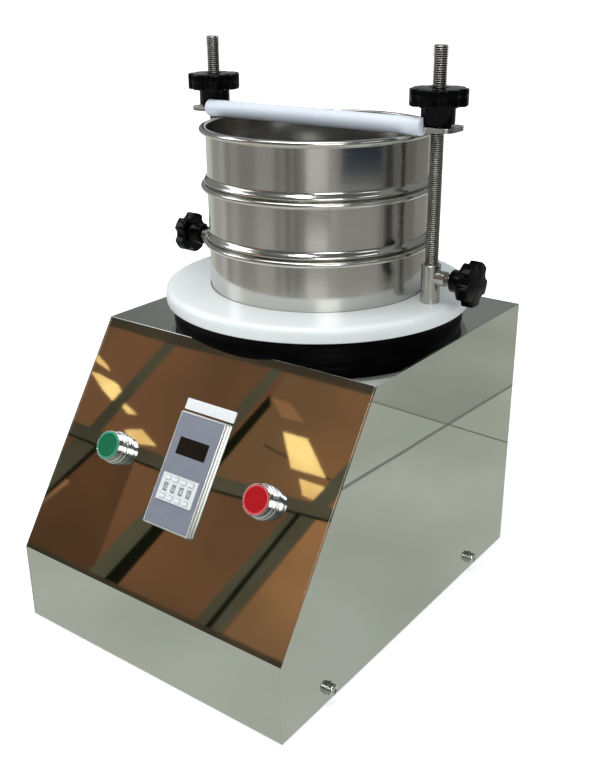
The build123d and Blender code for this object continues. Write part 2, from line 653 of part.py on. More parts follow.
def make_sieve_frame(top):
    """Sieve wall with a rolled rim, a flared foot, a nesting skirt and a mesh ledge."""
    wall_in = SIEVE_WALL_RADIUS - SIEVE_WALL
    foot = top - SIEVE_PITCH
    flare_out = SIEVE_WALL_RADIUS + FLARE_REACH
    nest_out = wall_in - NEST_CLEARANCE
    nest_in = nest_out - SIEVE_WALL
    mesh_z = top - MESH_DEPTH
    outline = rim_points(top) + [
        (SIEVE_WALL_RADIUS, foot + FLARE_HEIGHT),
        (flare_out - 0.4, foot + FLARE_LIP + 3.0),
        (flare_out, foot + FLARE_LIP + 2.0),
        (flare_out, foot + FLARE_LIP),
        (flare_out - FLARE_LIP, foot),
        (nest_out, foot),
        (nest_out, foot - NEST_DEPTH),
        (nest_in, foot - NEST_DEPTH),
        (nest_in, foot + 1.0),
        (wall_in - MESH_LEDGE, mesh_z - MESH_THICKNESS - 3.0),
        (wall_in - MESH_LEDGE, mesh_z - MESH_THICKNESS),
        (wall_in, mesh_z - MESH_THICKNESS),
    ]
    return at_table(turned(outline))


def make_sieve_mesh(top):
    """Woven mesh disc, drawn as a thin plate lying on the ledge."""
    mesh_z = top - MESH_DEPTH
    radius = SIEVE_WALL_RADIUS - SIEVE_WALL - MESH_CLEARANCE
    return at_table(rod(radius, mesh_z - MESH_THICKNESS, mesh_z))


def make_receiver_pan():
    """Closed pan with the same rolled rim, standing in the table's recess."""
    bottom = PAN_BOTTOM_Z
    wall_in = SIEVE_WALL_RADIUS - SIEVE_WALL
    outline = rim_points(PAN_RIM_Z) + [
        (SIEVE_WALL_RADIUS, bottom + 1.5), (SIEVE_WALL_RADIUS - 1.5, bottom), (0, bottom),
        (0, bottom + SIEVE_WALL), (wall_in - 1.2, bottom + SIEVE_WALL),
        (wall_in, bottom + SIEVE_WALL + 1.2)]
    return at_table(turned(outline))


def make_tie_rod(side):
    """Threaded rod with a chamfered, slotted top, standing in its socket."""
    bar = rod(ROD_RADIUS, TABLE_TOP_Z + ROD_SEAT, ROD_TOP_Z)
    bar = chamfer(bar.edges().filter_by(GeomType.CIRCLE), 0.8)
    bar -= block(3 * ROD_RADIUS, ROD_SLOT, ROD_TOP_Z - ROD_SLOT, ROD_TOP_Z + 1)
    return Pos(side * ROD_OFFSET, TABLE_Y, 0) * bar


def make_lock_stud(side):
    """Threaded stud that runs through the boss and bears on the tie rod."""
    tip = ROD_RADIUS + LOCK_TIP_GAP
    end = LOCK_BOSS_REACH + LOCK_STUD_EXPOSED + LOCK_HUB_LENGTH
    return lock_plane(side) * rod(LOCK_STUD_RADIUS, tip, end)


def lock_plane(side):
    """Plane at a tie rod's axis with z along the lock stud, away from the machine."""
    return Plane(origin=(side * ROD_OFFSET, TABLE_Y, LOCK_Z), x_dir=(0, -1, 0), z_dir=(side, 0, 0))


def make_lock_knob(side):
    """Five-lobed star knob with a round hub, fixed on the lock stud."""
    hub_low = LOCK_BOSS_REACH + LOCK_STUD_EXPOSED
    star_low = hub_low + LOCK_HUB_LENGTH
    turn = RIGHT_LOCK_TURN if side > 0 else LEFT_LOCK_TURN
    handle = Pos(0, 0, star_low) * star(
        LOCK_STAR_RADIUS, LOCK_SCALLOP_RADIUS, LOCK_SCALLOP_DEPTH, LOCK_STAR_THICKNESS,
        LOCK_LOBES, LOCK_LOBE_ROUND, turn)
    hub = rod(LOCK_HUB_RADIUS, hub_low, star_low + 1)
    hub = fillet(hub.edges().sort_by(Axis.Z)[0], 1.0)
    knob = handle + hub
    knob -= rod(LOCK_STUD_RADIUS + RUNNING_CLEARANCE, hub_low - 1, star_low + RUNNING_CLEARANCE)
    return lock_plane(side) * knob


def make_clamp_strip():
    """Flat steel strip with cut corners and a hole for each tie rod."""
    half_length = ROD_OFFSET + STRIP_OVERHANG
    strip = Pos(0, 0, STRIP_BOTTOM_Z) * Box(2 * half_length, STRIP_WIDTH, STRIP_THICKNESS, align=LOW)
    strip = fillet(strip.edges().filter_by(Axis.Z), STRIP_CORNER)
    for side in SIDES:
        strip -= Pos(side * ROD_OFFSET, 0, 0) * rod(ROD_RADIUS + ROD_CLEARANCE, STRIP_BOTTOM_Z - 1, STRIP_TOP_Z + 1)
    return at_table(strip)


def make_clamp_bar():
    """Round nylon bar, slotted to grip the strip's front edge and relieved at the nuts."""
    half_length = ROD_OFFSET - BAR_END_GAP
    axis = Plane(origin=(-half_length, -BAR_FORWARD, BAR_Z), x_dir=(0, 1, 0), z_dir=(1, 0, 0))
    bar = axis * rod(BAR_RADIUS, 0, 2 * half_length)
    bar = fillet(bar.edges().filter_by(GeomType.CIRCLE), 1.2)
    slot_front = -STRIP_WIDTH / 2 - BAR_SLOT_CLEARANCE
    slot_low = STRIP_BOTTOM_Z - BAR_SLOT_CLEARANCE
    slot_high = STRIP_TOP_Z + BAR_SLOT_CLEARANCE
    slot = Box(3 * half_length, STRIP_WIDTH, slot_high - slot_low, align=(Align.CENTER, Align.MIN, Align.MIN))
    bar -= Pos(0, slot_front, slot_low) * slot
    relief = rod(NUT_HUB_RADIUS + BAR_HUB_CLEARANCE, slot_low, BAR_Z + 2 * BAR_RADIUS)
    for side in SIDES:
        bar -= Pos(side * ROD_OFFSET, 0, 0) * relief
    dimple_low = BAR_Z + BAR_RADIUS - BAR_DIMPLE_DEPTH
    bar -= Pos(0, -BAR_FORWARD, 0) * rod(BAR_DIMPLE_RADIUS, dimple_low, dimple_low + 2 * BAR_DIMPLE_DEPTH)
    return at_table(bar)


def make_star_nut(side):
    """Star nut: spigot on the strip, hub, and a seven-lobed star handle."""
    turn = RIGHT_NUT_TURN if side > 0 else LEFT_NUT_TURN
    hub_low = STRIP_TOP_Z + NUT_SPIGOT_HEIGHT
    star_low = hub_low + NUT_HUB_HEIGHT
    nut = rod(NUT_SPIGOT_RADIUS, STRIP_TOP_Z, hub_low + 1)
    hub = rod(NUT_HUB_RADIUS, hub_low, star_low + 1)
    nut += fillet(hub.edges().sort_by(Axis.Z)[0], 0.8)
    nut += Pos(0, 0, star_low) * star(
        NUT_STAR_RADIUS, NUT_SCALLOP_RADIUS, NUT_SCALLOP_DEPTH, NUT_STAR_HEIGHT,
        NUT_LOBES, NUT_LOBE_ROUND, turn)
    nut -= rod(ROD_RADIUS + NUT_BORE_CLEARANCE, STRIP_TOP_Z - 1, star_low + NUT_STAR_HEIGHT + 1)
    return Pos(side * ROD_OFFSET, TABLE_Y, 0) * nut


def make_button_body():
    """Chrome head of a push button with its threaded stem, about its own axis."""
    collar_top = BUTTON_RING_HEIGHT + BUTTON_COLLAR_HEIGHT
    body = rod(BUTTON_RING_RADIUS, 0, BUTTON_RING_HEIGHT)
    body = fillet(body.edges().sort_by(Axis.Z)[-1], 0.5)
    body += rod(BUTTON_COLLAR_RADIUS, BUTTON_RING_HEIGHT, collar_top)
    body += rod(BUTTON_BARREL_RADIUS, collar_top, BUTTON_HEIGHT)
    body += rod(BUTTON_STEM_RADIUS, -BUTTON_STEM_LENGTH, 0)
    body -= rod(cap_radius() + CAP_CLEARANCE, BUTTON_FLOOR_HEIGHT, BUTTON_HEIGHT + 1)
    body -= rod(PLUNGER_RADIUS + CAP_CLEARANCE, -BUTTON_STEM_LENGTH - 1, BUTTON_FLOOR_HEIGHT + 1)
    return body


def cap_radius():
    """Radius of the coloured cap, from the barrel around it."""
    return BUTTON_BARREL_RADIUS - BUTTON_WALL - CAP_CLEARANCE


def make_button_cap():
    """Coloured cap with a slightly dished face and the plunger behind it."""
    top = BUTTON_HEIGHT + CAP_PROUD
    low = BUTTON_FLOOR_HEIGHT + CAP_TRAVEL + CAP_CLEARANCE
    cap = rod(cap_radius(), low, top)
    cap = fillet(cap.edges().sort_by(Axis.Z)[-1], 0.5)
    cap -= rod(cap_radius() - CAP_DISH_INSET, top - CAP_DISH_DEPTH, top + 1)
    return cap + rod(PLUNGER_RADIUS, low - PLUNGER_LENGTH, low)


def make_button_nut():
    """Hexagon nut behind the panel."""
    low = -SHEET - BUTTON_NUT_THICKNESS
    nut = Pos(0, 0, low) * extrude(RegularPolygon(BUTTON_NUT_RADIUS, 6), BUTTON_NUT_THICKNESS)
    return nut - rod(BUTTON_STEM_RADIUS + RUNNING_CLEARANCE, low - 1, 0)


def make_contact_block():
    """Switch block behind the stem."""
    body = block(CONTACT_WIDTH, CONTACT_HEIGHT, -BUTTON_STEM_LENGTH - CONTACT_DEPTH, -BUTTON_STEM_LENGTH)
    return fillet(body.edges().filter_by(Axis.Z), 2.0)


def case_width():
    """Outer width of the timer case behind the panel."""
    return BEZEL_WIDTH - 2 * CASE_MARGIN


def case_height():
    """Outer height of the timer case behind the panel."""
    return BEZEL_HEIGHT - 2 * CASE_MARGIN


FACE_TOP = BEZEL_RISE - FACE_SINK
FACE_LOW = FACE_TOP - FACE_THICKNESS
WHEEL_FACE = FACE_TOP + WHEEL_BLOCK_PROUD
WHEEL_FRONT_INSIDE = WHEEL_FACE - WHEEL_FRONT_WALL
WHEEL_AXIS_Z = WHEEL_FRONT_INSIDE - WHEEL_GAP - WHEEL_RADIUS


def wheel_columns():
    """Places of the digit columns across the thumbwheel block."""
    middle = (WHEEL_COUNT - 1) / 2
    return [(i - middle) * WHEEL_PITCH for i in range(WHEEL_COUNT)]


def make_timer_case():
    """Hollow case behind the panel, open towards the bezel."""
    case = block(case_width(), case_height(), -CASE_DEPTH, 0)
    case = fillet(case.edges().filter_by(Axis.Z), 1.5)
    return case - block(case_width() - 2 * CASE_WALL, case_height() - 2 * CASE_WALL, -CASE_DEPTH + CASE_WALL, 1)


def make_timer_bezel():
    """Raised frame around the timer's face."""
    bezel = block(BEZEL_WIDTH, BEZEL_HEIGHT, 0, BEZEL_RISE)
    bezel = fillet(bezel.edges().filter_by(Axis.Z), 1.2)
    bezel = fillet(bezel.faces().sort_by(Axis.Z)[-1].edges(), BEZEL_ROUND)
    bezel -= block(BEZEL_WIDTH - 2 * BEZEL_RIM, BEZEL_HEIGHT - 2 * BEZEL_RIM, FACE_LOW, BEZEL_RISE + 1)
    return bezel - block(case_width() - 2 * CASE_WALL, case_height() - 2 * CASE_WALL, -1, BEZEL_RISE)


def make_timer_face():
    """Face plate with openings for the display window and the thumbwheels."""
    width = BEZEL_WIDTH - 2 * BEZEL_RIM - 2 * INSERT_CLEARANCE
    height = BEZEL_HEIGHT - 2 * BEZEL_RIM - 2 * INSERT_CLEARANCE
    face = block(width, height, FACE_LOW, FACE_TOP)
    face -= Pos(0, WINDOW_UP, 0) * block(WINDOW_WIDTH + 2 * INSERT_CLEARANCE,
                                         WINDOW_HEIGHT + 2 * INSERT_CLEARANCE, 0, BEZEL_RISE + 1)
    face -= Pos(0, WHEEL_BLOCK_UP, 0) * block(WHEEL_BLOCK_WIDTH + 2 * INSERT_CLEARANCE,
                                              WHEEL_BLOCK_HEIGHT + 2 * INSERT_CLEARANCE, 0, BEZEL_RISE + 1)
    return face


def make_timer_window():
    """Dark display window with a flange behind the face plate."""
    pane = block(WINDOW_WIDTH, WINDOW_HEIGHT, FACE_LOW - 0.1, FACE_TOP - WINDOW_SINK)
    flange = block(WINDOW_WIDTH + 2 * INSERT_FLANGE, WINDOW_HEIGHT + 2 * INSERT_FLANGE,
                   FACE_LOW - FLANGE_THICKNESS, FACE_LOW)
    return Pos(0, WINDOW_UP, 0) * (pane + flange)


def make_thumbwheel_frame():
    """White block with a cavity, a digit window, two tab slots and an axle in each column."""
    low = WHEEL_AXIS_Z - WHEEL_RADIUS - WHEEL_GAP
    frame = block(WHEEL_BLOCK_WIDTH, WHEEL_BLOCK_HEIGHT, low, WHEEL_FACE)
    frame = fillet(frame.edges().filter_by(Axis.Z), 0.8)
    frame += block(case_width() - 2 * CASE_WALL - 2 * INSERT_CLEARANCE,
                   WHEEL_BLOCK_HEIGHT + 2 * INSERT_FLANGE, FACE_LOW - FLANGE_THICKNESS, FACE_LOW)
    for x in wheel_columns():
        frame -= Pos(x, 0, 0) * block(WHEEL_CAVITY_WIDTH, WHEEL_CAVITY_HEIGHT, low - 1, WHEEL_FRONT_INSIDE)
        frame -= Pos(x, 0, 0) * block(DIGIT_WINDOW_WIDTH, DIGIT_WINDOW_HEIGHT, 0, WHEEL_FACE + 1)
        for side in SIDES:
            frame -= Pos(x, side * TAB_OFFSET, 0) * block(
                TAB_WIDTH + 2 * TAB_CLEARANCE, TAB_HEIGHT + 2 * TAB_CLEARANCE, 0, WHEEL_FACE + 1)
    axle_plane = Plane(origin=(-WHEEL_BLOCK_WIDTH / 2, 0, WHEEL_AXIS_Z), x_dir=(0, 1, 0), z_dir=(1, 0, 0))
    frame += axle_plane * rod(WHEEL_AXLE_RADIUS, 0.5, WHEEL_BLOCK_WIDTH - 0.5)
    return Pos(0, WHEEL_BLOCK_UP, 0) * frame


def make_digit_wheel(x):
    """Ten-sided digit wheel on the axle."""
    plane = Plane(origin=(x - WHEEL_WIDTH / 2, WHEEL_BLOCK_UP, WHEEL_AXIS_Z), x_dir=(0, 0, 1), z_dir=(1, 0, 0))
    outline = RegularPolygon(WHEEL_RADIUS, WHEEL_SIDES, rotation=180.0 / WHEEL_SIDES)
    wheel = extrude(outline, WHEEL_WIDTH)
    return plane * (wheel - rod(WHEEL_AXLE_RADIUS + RUNNING_CLEARANCE, -1, WHEEL_WIDTH + 1))


def make_wheel_tab(x, side):
    """Small push tab above or below a digit, held by a flange behind the front wall."""
    flange_top = WHEEL_FRONT_INSIDE - TAB_CLEARANCE
    tab = block(TAB_WIDTH, TAB_HEIGHT, flange_top - 0.1, WHEEL_FACE + TAB_PROUD)
    tab = fillet(tab.faces().sort_by(Axis.Z)[-1].edges(), 0.4)
    tab += block(TAB_WIDTH + 2 * TAB_FLANGE, TAB_HEIGHT + 2 * TAB_FLANGE,
                 flange_top - TAB_FLANGE_THICKNESS, flange_top)
    return Pos(x, WHEEL_BLOCK_UP + side * TAB_OFFSET, 0) * tab


def make_name_plate():
    """Blank plate stuck on the slope above the timer."""
    plate = block(NAME_PLATE_WIDTH, NAME_PLATE_HEIGHT, 0, NAME_PLATE_THICKNESS)
    return fillet(plate.edges().filter_by(Axis.Z), 0.8)


def write_housing():
    """Write the box, its fasteners and feet, the gland and the spring deck."""
    save(make_wrap_panel(), "wrap_panel")
    save(make_side_panel(-1), "left_side_panel")
    save(make_side_panel(1), "right_side_panel")
    save(make_base_tray(), "base_tray")
    screws, washers = [], []
    for side in SIDES:
        for y, z in screw_places():
            screws.append(side_plane(side, y, z) * make_side_screw())
            washers += [side_plane(side, y, z) * w for w in make_side_washers()]
    save(group(screws), "side_screws")
    save(group(washers), "side_washers")
    save(group(Pos(x, y, 0) * make_foot() for x, y in foot_places()), "rubber_feet")
    save(make_cable_gland(), "cable_gland")
    save(make_spring_deck(), "spring_deck")
    springs = around(SPRING_CIRCLE_RADIUS, SPRING_COUNT, 45, make_spring)
    save(group(at_table(s) for s in springs), "support_springs")
    save(at_table(make_skirt()), "rubber_skirt")
    save(slope_plane(NAME_PLATE_X, NAME_PLATE_UP_SLOPE) * make_name_plate(), "name_plate")


def write_table():
    """Write the vibrating table with its motor and rod sockets."""
    save(make_table_disc(), "table_disc")
    save(make_motor_plate(), "motor_plate")
    save(make_motor_casing(), "motor_casing")
    save(make_stator(), "motor_stator")
    save(make_bearings(), "motor_bearings")
    save(make_table_bolts(), "table_bolts")
    save(make_motor_shaft(), "motor_shaft")
    save(make_weights(), "eccentric_weights")
    save(make_rod_socket(-1), "left_rod_socket")
    save(make_rod_socket(1), "right_rod_socket")


def write_clamp():
    """Write the tie rods, lock knobs, clamp strip, bar and star nuts."""
    for side, name in ((-1, "left"), (1, "right")):
        save(make_tie_rod(side), f"{name}_tie_rod")
        save(make_lock_stud(side), f"{name}_lock_stud")
        save(make_lock_knob(side), f"{name}_lock_knob")
        save(make_star_nut(side), f"{name}_star_nut")
    save(make_clamp_strip(), "clamp_strip")
    save(make_clamp_bar(), "clamp_bar")


def write_sieves():
    """Write the receiver pan and the sieves, from the bottom up."""
    save(make_receiver_pan(), "receiver_pan")
    for i, name in enumerate(("lower", "top")):
        top = PAN_RIM_Z + (i + 1) * SIEVE_PITCH
        save(make_sieve_frame(top), f"{name}_sieve_frame")
        save(make_sieve_mesh(top), f"{name}_sieve_mesh")


def write_controls():
    """Write the push buttons and the timer."""
    places = {"start": slope_plane(START_X, BUTTON_UP_SLOPE), "stop": slope_plane(STOP_X, BUTTON_UP_SLOPE)}
    for name, plane in places.items():
        save(plane * make_button_body(), f"{name}_button_body")
        save(plane * make_button_cap(), f"{name}_button_cap")
    save(group(plane * make_button_nut() for plane in places.values()), "button_nuts")
    save(group(plane * make_contact_block() for plane in places.values()), "contact_blocks")
    timer = slope_plane(TIMER_X, TIMER_UP_SLOPE)
    save(timer * make_timer_case(), "timer_case")
    save(timer * make_timer_bezel(), "timer_bezel")
    save(timer * make_timer_face(), "timer_face")
    save(timer * make_timer_window(), "timer_window")
    save(timer * make_thumbwheel_frame(), "thumbwheel_frame")
    for i, x in enumerate(wheel_columns(), start=1):
        save(timer * make_digit_wheel(x), f"digit_wheel_{i}")
        save(timer * make_wheel_tab(x, 1), f"minus_tab_{i}")
        save(timer * make_wheel_tab(x, -1), f"plus_tab_{i}")


os.makedirs("parts", exist_ok=True)
write_housing()
write_table()
write_clamp()
write_sieves()
write_controls()
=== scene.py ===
"""Looks of a bench-top vibrating sieve, built around its packed construction model.

Everything is in metres, in the frame of the construction model: X across the front,
-Y the front, +Z up, the floor at Z = 0.
"""

import json
import logging
import math
from dataclasses import dataclass, replace
from enum import Enum
from typing import Optional, Sequence

import bpy
import bmesh
import numpy as np
from mathutils import Matrix, Vector


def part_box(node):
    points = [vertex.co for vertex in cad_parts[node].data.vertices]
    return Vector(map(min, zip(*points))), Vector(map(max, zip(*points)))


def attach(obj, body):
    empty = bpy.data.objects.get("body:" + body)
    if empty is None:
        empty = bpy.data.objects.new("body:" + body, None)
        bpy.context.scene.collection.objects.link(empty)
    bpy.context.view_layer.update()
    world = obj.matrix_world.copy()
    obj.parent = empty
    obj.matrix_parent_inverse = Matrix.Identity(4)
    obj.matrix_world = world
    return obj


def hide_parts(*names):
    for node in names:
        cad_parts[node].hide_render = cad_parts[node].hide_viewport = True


LOG = logging.getLogger("vibrating_sieve")
MM = 0.001
TAU = 2.0 * math.pi
WELD_REACH = 2e-7
SAME_POINT = 1e-7
SUBSURFACE_REACH = (0.004, 0.004, 0.0035)

Array = np.ndarray
Color = tuple[float, float, float]


class Side(Enum):
    """The two sides of the machine, with the sign of X and the word in node names."""

    LEFT = (-1.0, "left")
    RIGHT = (1.0, "right")

    @property
    def sign(self) -> float:
        """Sign of X on this side."""
        return self.value[0]

    @property
    def word(self) -> str:
        """Word that starts this side's node names."""
        return self.value[1]


class Coords(Enum):
    """How a finish lays out its fine grain."""

    PLAIN = "plain"
    AROUND_AXIS = "around_axis"


@dataclass(frozen=True)
class Place:
    """A local frame: its origin and its three axes, in the machine's frame."""

    origin: tuple[float, float, float] = (0.0, 0.0, 0.0)
    x_axis: tuple[float, float, float] = (1.0, 0.0, 0.0)
    y_axis: tuple[float, float, float] = (0.0, 1.0, 0.0)
    z_axis: tuple[float, float, float] = (0.0, 0.0, 1.0)

    def put(self, points: Array) -> Array:
        """Carry local points into the machine's frame.

        Args:
            points: array whose last axis holds local x, y, z.

        Returns:
            The same points in the machine's frame.
        """
        axes = np.array([self.x_axis, self.y_axis, self.z_axis])
        return points @ axes + np.array(self.origin)


def soften(outline: Array, reach: float, steps: int = 4, closed: bool = True) -> Array:
    """Round the corners of an outline.

    Each corner C becomes the curve (1-t)^2 A + 2t(1-t) C + t^2 B, where A and B lie on
    the two edges, `reach` away from C or just under half an edge where that is less.

    Args:
        outline: corner points, one row each.
        reach: distance from a corner at which its curve starts.
        steps: number of spans in each curve.
        closed: whether the last corner joins the first; if not, both ends stay.

    Returns:
        The points of the rounded outline.
    """
    before = np.roll(outline, 1, axis=0) - outline
    after = np.roll(outline, -1, axis=0) - outline
    length_before = np.linalg.norm(before, axis=1, keepdims=True)
    length_after = np.linalg.norm(after, axis=1, keepdims=True)
    cut_before = np.minimum(reach, 0.48 * length_before)
    cut_after = np.minimum(reach, 0.48 * length_after)
    if not closed:
        cut_before[[0, -1]] = 0.0
        cut_after[[0, -1]] = 0.0
    start = outline + before / np.maximum(length_before, 1e-12) * cut_before
    end = outline + after / np.maximum(length_after, 1e-12) * cut_after
    t = np.linspace(0.0, 1.0, steps + 1)[None, :, None]
    curve = (1 - t) ** 2 * start[:, None] + 2 * t * (1 - t) * outline[:, None] + t ** 2 * end[:, None]
    points = curve.reshape(-1, outline.shape[1])
    keep = np.linalg.norm(np.diff(points, axis=0, prepend=points[:1] + 1.0), axis=1) > SAME_POINT
    return points[keep]


def grid_faces(rows: int, columns: int, wrap_rows: bool, wrap_columns: bool) -> Array:
    """Corner numbers of the quads of a grid of points.

    Args:
        rows: points along the first direction.
        columns: points along the second direction.
        wrap_rows: whether the last row joins the first.
        wrap_columns: whether the last column joins the first.

    Returns:
        One row of four point numbers for each quad.
    """
    i, j = np.meshgrid(
        np.arange(rows if wrap_rows else rows - 1),
        np.arange(columns if wrap_columns else columns - 1),
        indexing="ij",
    )
    next_i, next_j = (i + 1) % rows, (j + 1) % columns
    quads = np.stack([i * columns + j, i * columns + next_j,
                      next_i * columns + next_j, next_i * columns + j])
    return quads.reshape(4, -1).T


def make_piece(name: str, points: Array, faces: Array, smooth_degrees: float = 35.0) -> bpy.types.Object:
    """Put points and quads into a new mesh object with merged seams and outward normals.

    Args:
        name: name of the piece.
        points: one row of x, y, z for each point.
        faces: one row of point numbers for each face.
        smooth_degrees: edges that turn more than this stay crisp.

    Returns:
        The new object, linked to the scene, at the origin.
    """
    mesh = bpy.data.meshes.new(name)
    mesh.from_pydata(points.reshape(-1, 3).tolist(), [], faces.tolist())
    work = bmesh.new()
    work.from_mesh(mesh)
    bmesh.ops.remove_doubles(work, verts=work.verts, dist=WELD_REACH)
    bmesh.ops.dissolve_degenerate(work, edges=work.edges, dist=SAME_POINT)
    bmesh.ops.recalc_face_normals(work, faces=work.faces)
    work.to_mesh(mesh)
    work.free()
    mesh.shade_smooth()
    mesh.set_sharp_from_angle(angle=math.radians(smooth_degrees))
    piece = bpy.data.objects.new(name, mesh)
    bpy.context.scene.collection.objects.link(piece)
    return piece


def grid_piece(
    name: str,
    grid: Array,
    wrap_rows: bool = False,
    wrap_columns: bool = True,
    smooth_degrees: float = 35.0,
) -> bpy.types.Object:
    """Make a piece from a grid of points, rows by columns by x, y, z.

    Args:
        name: name of the piece.
        grid: the points.
        wrap_rows: whether the last row joins the first.
        wrap_columns: whether the last column joins the first.
        smooth_degrees: edges that turn more than this stay crisp.

    Returns:
        The new object.
    """
    faces = grid_faces(grid.shape[0], grid.shape[1], wrap_rows, wrap_columns)
    return make_piece(name, grid.reshape(-1, 3), faces, smooth_degrees)


def turned_grid(profile: Array, segments: int, place: Place = Place()) -> Array:
    """Points of a surface of revolution: (r cos a, r sin a, z) for each profile point (r, z).

    Args:
        profile: rows of radius and height.
        segments: number of points around the axis.
        place: local frame whose z axis is the axis of revolution.

    Returns:
        Grid of points in the machine's frame.
    """
    angle = np.arange(segments) * TAU / segments
    radius, height = profile[:, :1], profile[:, 1:2]
    local = np.stack(
        [radius * np.cos(angle), radius * np.sin(angle), np.broadcast_to(height, (len(profile), segments))],
        axis=-1,
    )
    return place.put(local)


def rounded_rectangle(width: float, height: float, radius: float, steps: int = 6) -> Array:
    """Outline of a rectangle with round corners, as rows of x, y, normal x, normal y.

    Each corner is a quarter circle: centre + radius (cos a, sin a), with normal (cos a, sin a).

    Args:
        width: full width.
        height: full height.
        radius: corner radius.
        steps: spans in each corner.

    Returns:
        The outline, counterclockwise.
    """
    signs = np.array([(1, 1), (-1, 1), (-1, -1), (1, -1)], float)
    centres = signs * (np.array([width, height]) / 2 - radius)
    turn = np.arange(4)[:, None] * math.pi / 2 + np.linspace(0, math.pi / 2, steps + 1)[None]
    normal = np.stack([np.cos(turn), np.sin(turn)], axis=-1)
    points = centres[:, None] + radius * normal
    return np.concatenate([points, normal], axis=-1).reshape(-1, 4)


def framed_grid(outline: Array, profile: Array, place: Place) -> Array:
    """Points of a profile carried around an outline: outline + offset times its normal, at a height.

    Args:
        outline: rows of x, y, normal x, normal y.
        profile: rows of offset along the normal and height.
        place: local frame of the outline's plane.

    Returns:
        Grid of points, one row for each profile point.
    """
    flat = outline[None, :, :2] + profile[:, None, :1] * outline[None, :, 2:]
    height = np.broadcast_to(profile[:, None, 1:2], flat.shape[:2] + (1,))
    return place.put(np.concatenate([flat, height], axis=-1))


class NodeBench:
    """Builds the node tree of one material around its main shader."""

    def __init__(self, name: str) -> None:
        """Start a material with that name and find its main shader."""
        self.material = bpy.data.materials.new(name)
        self.material.use_nodes = True
        self.tree = self.material.node_tree
        self.shader = self.tree.nodes["Principled BSDF"]

    def add(self, kind: str, settings: Optional[dict] = None, **inputs: object) -> bpy.types.Node:
        """Add a node.

        Args:
            kind: Blender's type name without the ShaderNode prefix.
            settings: attributes to set on the node.
            inputs: values or sockets for its inputs; underscores stand for spaces,
                and a name such as in_0 means the input's number.

        Returns:
            The new node.
        """
        node = self.tree.nodes.new("ShaderNode" + kind)
        for key, value in (settings or {}).items():
            setattr(node, key, value)
        for key, value in inputs.items():
            label = int(key[3:]) if key.startswith("in_") else key.replace("_", " ")
            self.feed(node.inputs[label], value)
        return node

    def feed(self, socket: bpy.types.NodeSocket, value: object) -> None:
        """Link a socket to the given one, or set its value."""
        if isinstance(value, bpy.types.NodeSocket):
            self.tree.links.new(value, socket)
        else:
            socket.default_value = value

    def math(self, operation: str, a: object, b: object = 0.0) -> bpy.types.NodeSocket:
        """Result of a two-number operation."""
        return self.add("Math", {"operation": operation}, in_0=a, in_1=b).outputs[0]

    def noise(self, vector: object, scale: float, detail: float = 3.0) -> bpy.types.NodeSocket:
        """Noise value between about 0 and 1."""
        return self.add("TexNoise", Vector=vector, Scale=scale, Detail=detail).outputs["Fac"]

    def spread(self, value: object, low: float, high: float, start: float = 0.3,
               end: float = 0.7) -> object:
        """Stretch a value from start..end to low..high."""
        node = self.add("MapRange", Value=value, From_Min=start, From_Max=end, To_Min=low, To_Max=high)
        return node.outputs["Result"]

    def mix(self, factor: object, first: Sequence[float], second: Sequence[float]) -> bpy.types.NodeSocket:
        """Colour between two colours."""
        node = self.add("Mix", {"data_type": "RGBA"}, Factor=factor)
        self.feed(node.inputs[6], first if isinstance(first, bpy.types.NodeSocket) else (*first, 1.0))
        self.feed(node.inputs[7], second if isinstance(second, bpy.types.NodeSocket) else (*second, 1.0))
        return node.outputs[2]

    def point(self, centre: Sequence[float] = (0, 0, 0)) -> object:
        """Object coordinates about a centre."""
        coords = self.add("TexCoord").outputs["Object"]
        node = self.add("Mapping", {"vector_type": "TEXTURE"}, Vector=coords)
        node.inputs["Location"].default_value = centre
        return node.outputs["Vector"]

    def stretched(self, vector: object, scale: Sequence[float]) -> object:
        """The vector with each axis scaled."""
        return self.add("VectorMath", {"operation": "MULTIPLY"}, in_0=vector, in_1=tuple(scale)).outputs[0]

    def cylinder_point(self, vector: object) -> object:
        """Angle about z in turns, radius and height, as one vector."""
        parts = self.add("SeparateXYZ", Vector=vector).outputs
        angle = self.math("DIVIDE", self.math("ARCTAN2", parts["Y"], parts["X"]), TAU)
        squares = self.math("ADD", *(self.math("POWER", parts[axis], 2.0) for axis in "XY"))
        return self.add("CombineXYZ", X=angle, Y=self.math("SQRT", squares), Z=parts["Z"]).outputs[0]

    def bump(self, height: object, strength: float, distance: float, under: object = None) -> object:
        """Surface normal bumped by a height."""
        node = self.add("Bump", Height=height, Strength=strength, Distance=distance)
        if under is not None:
            self.feed(node.inputs["Normal"], under)
        return node.outputs["Normal"]


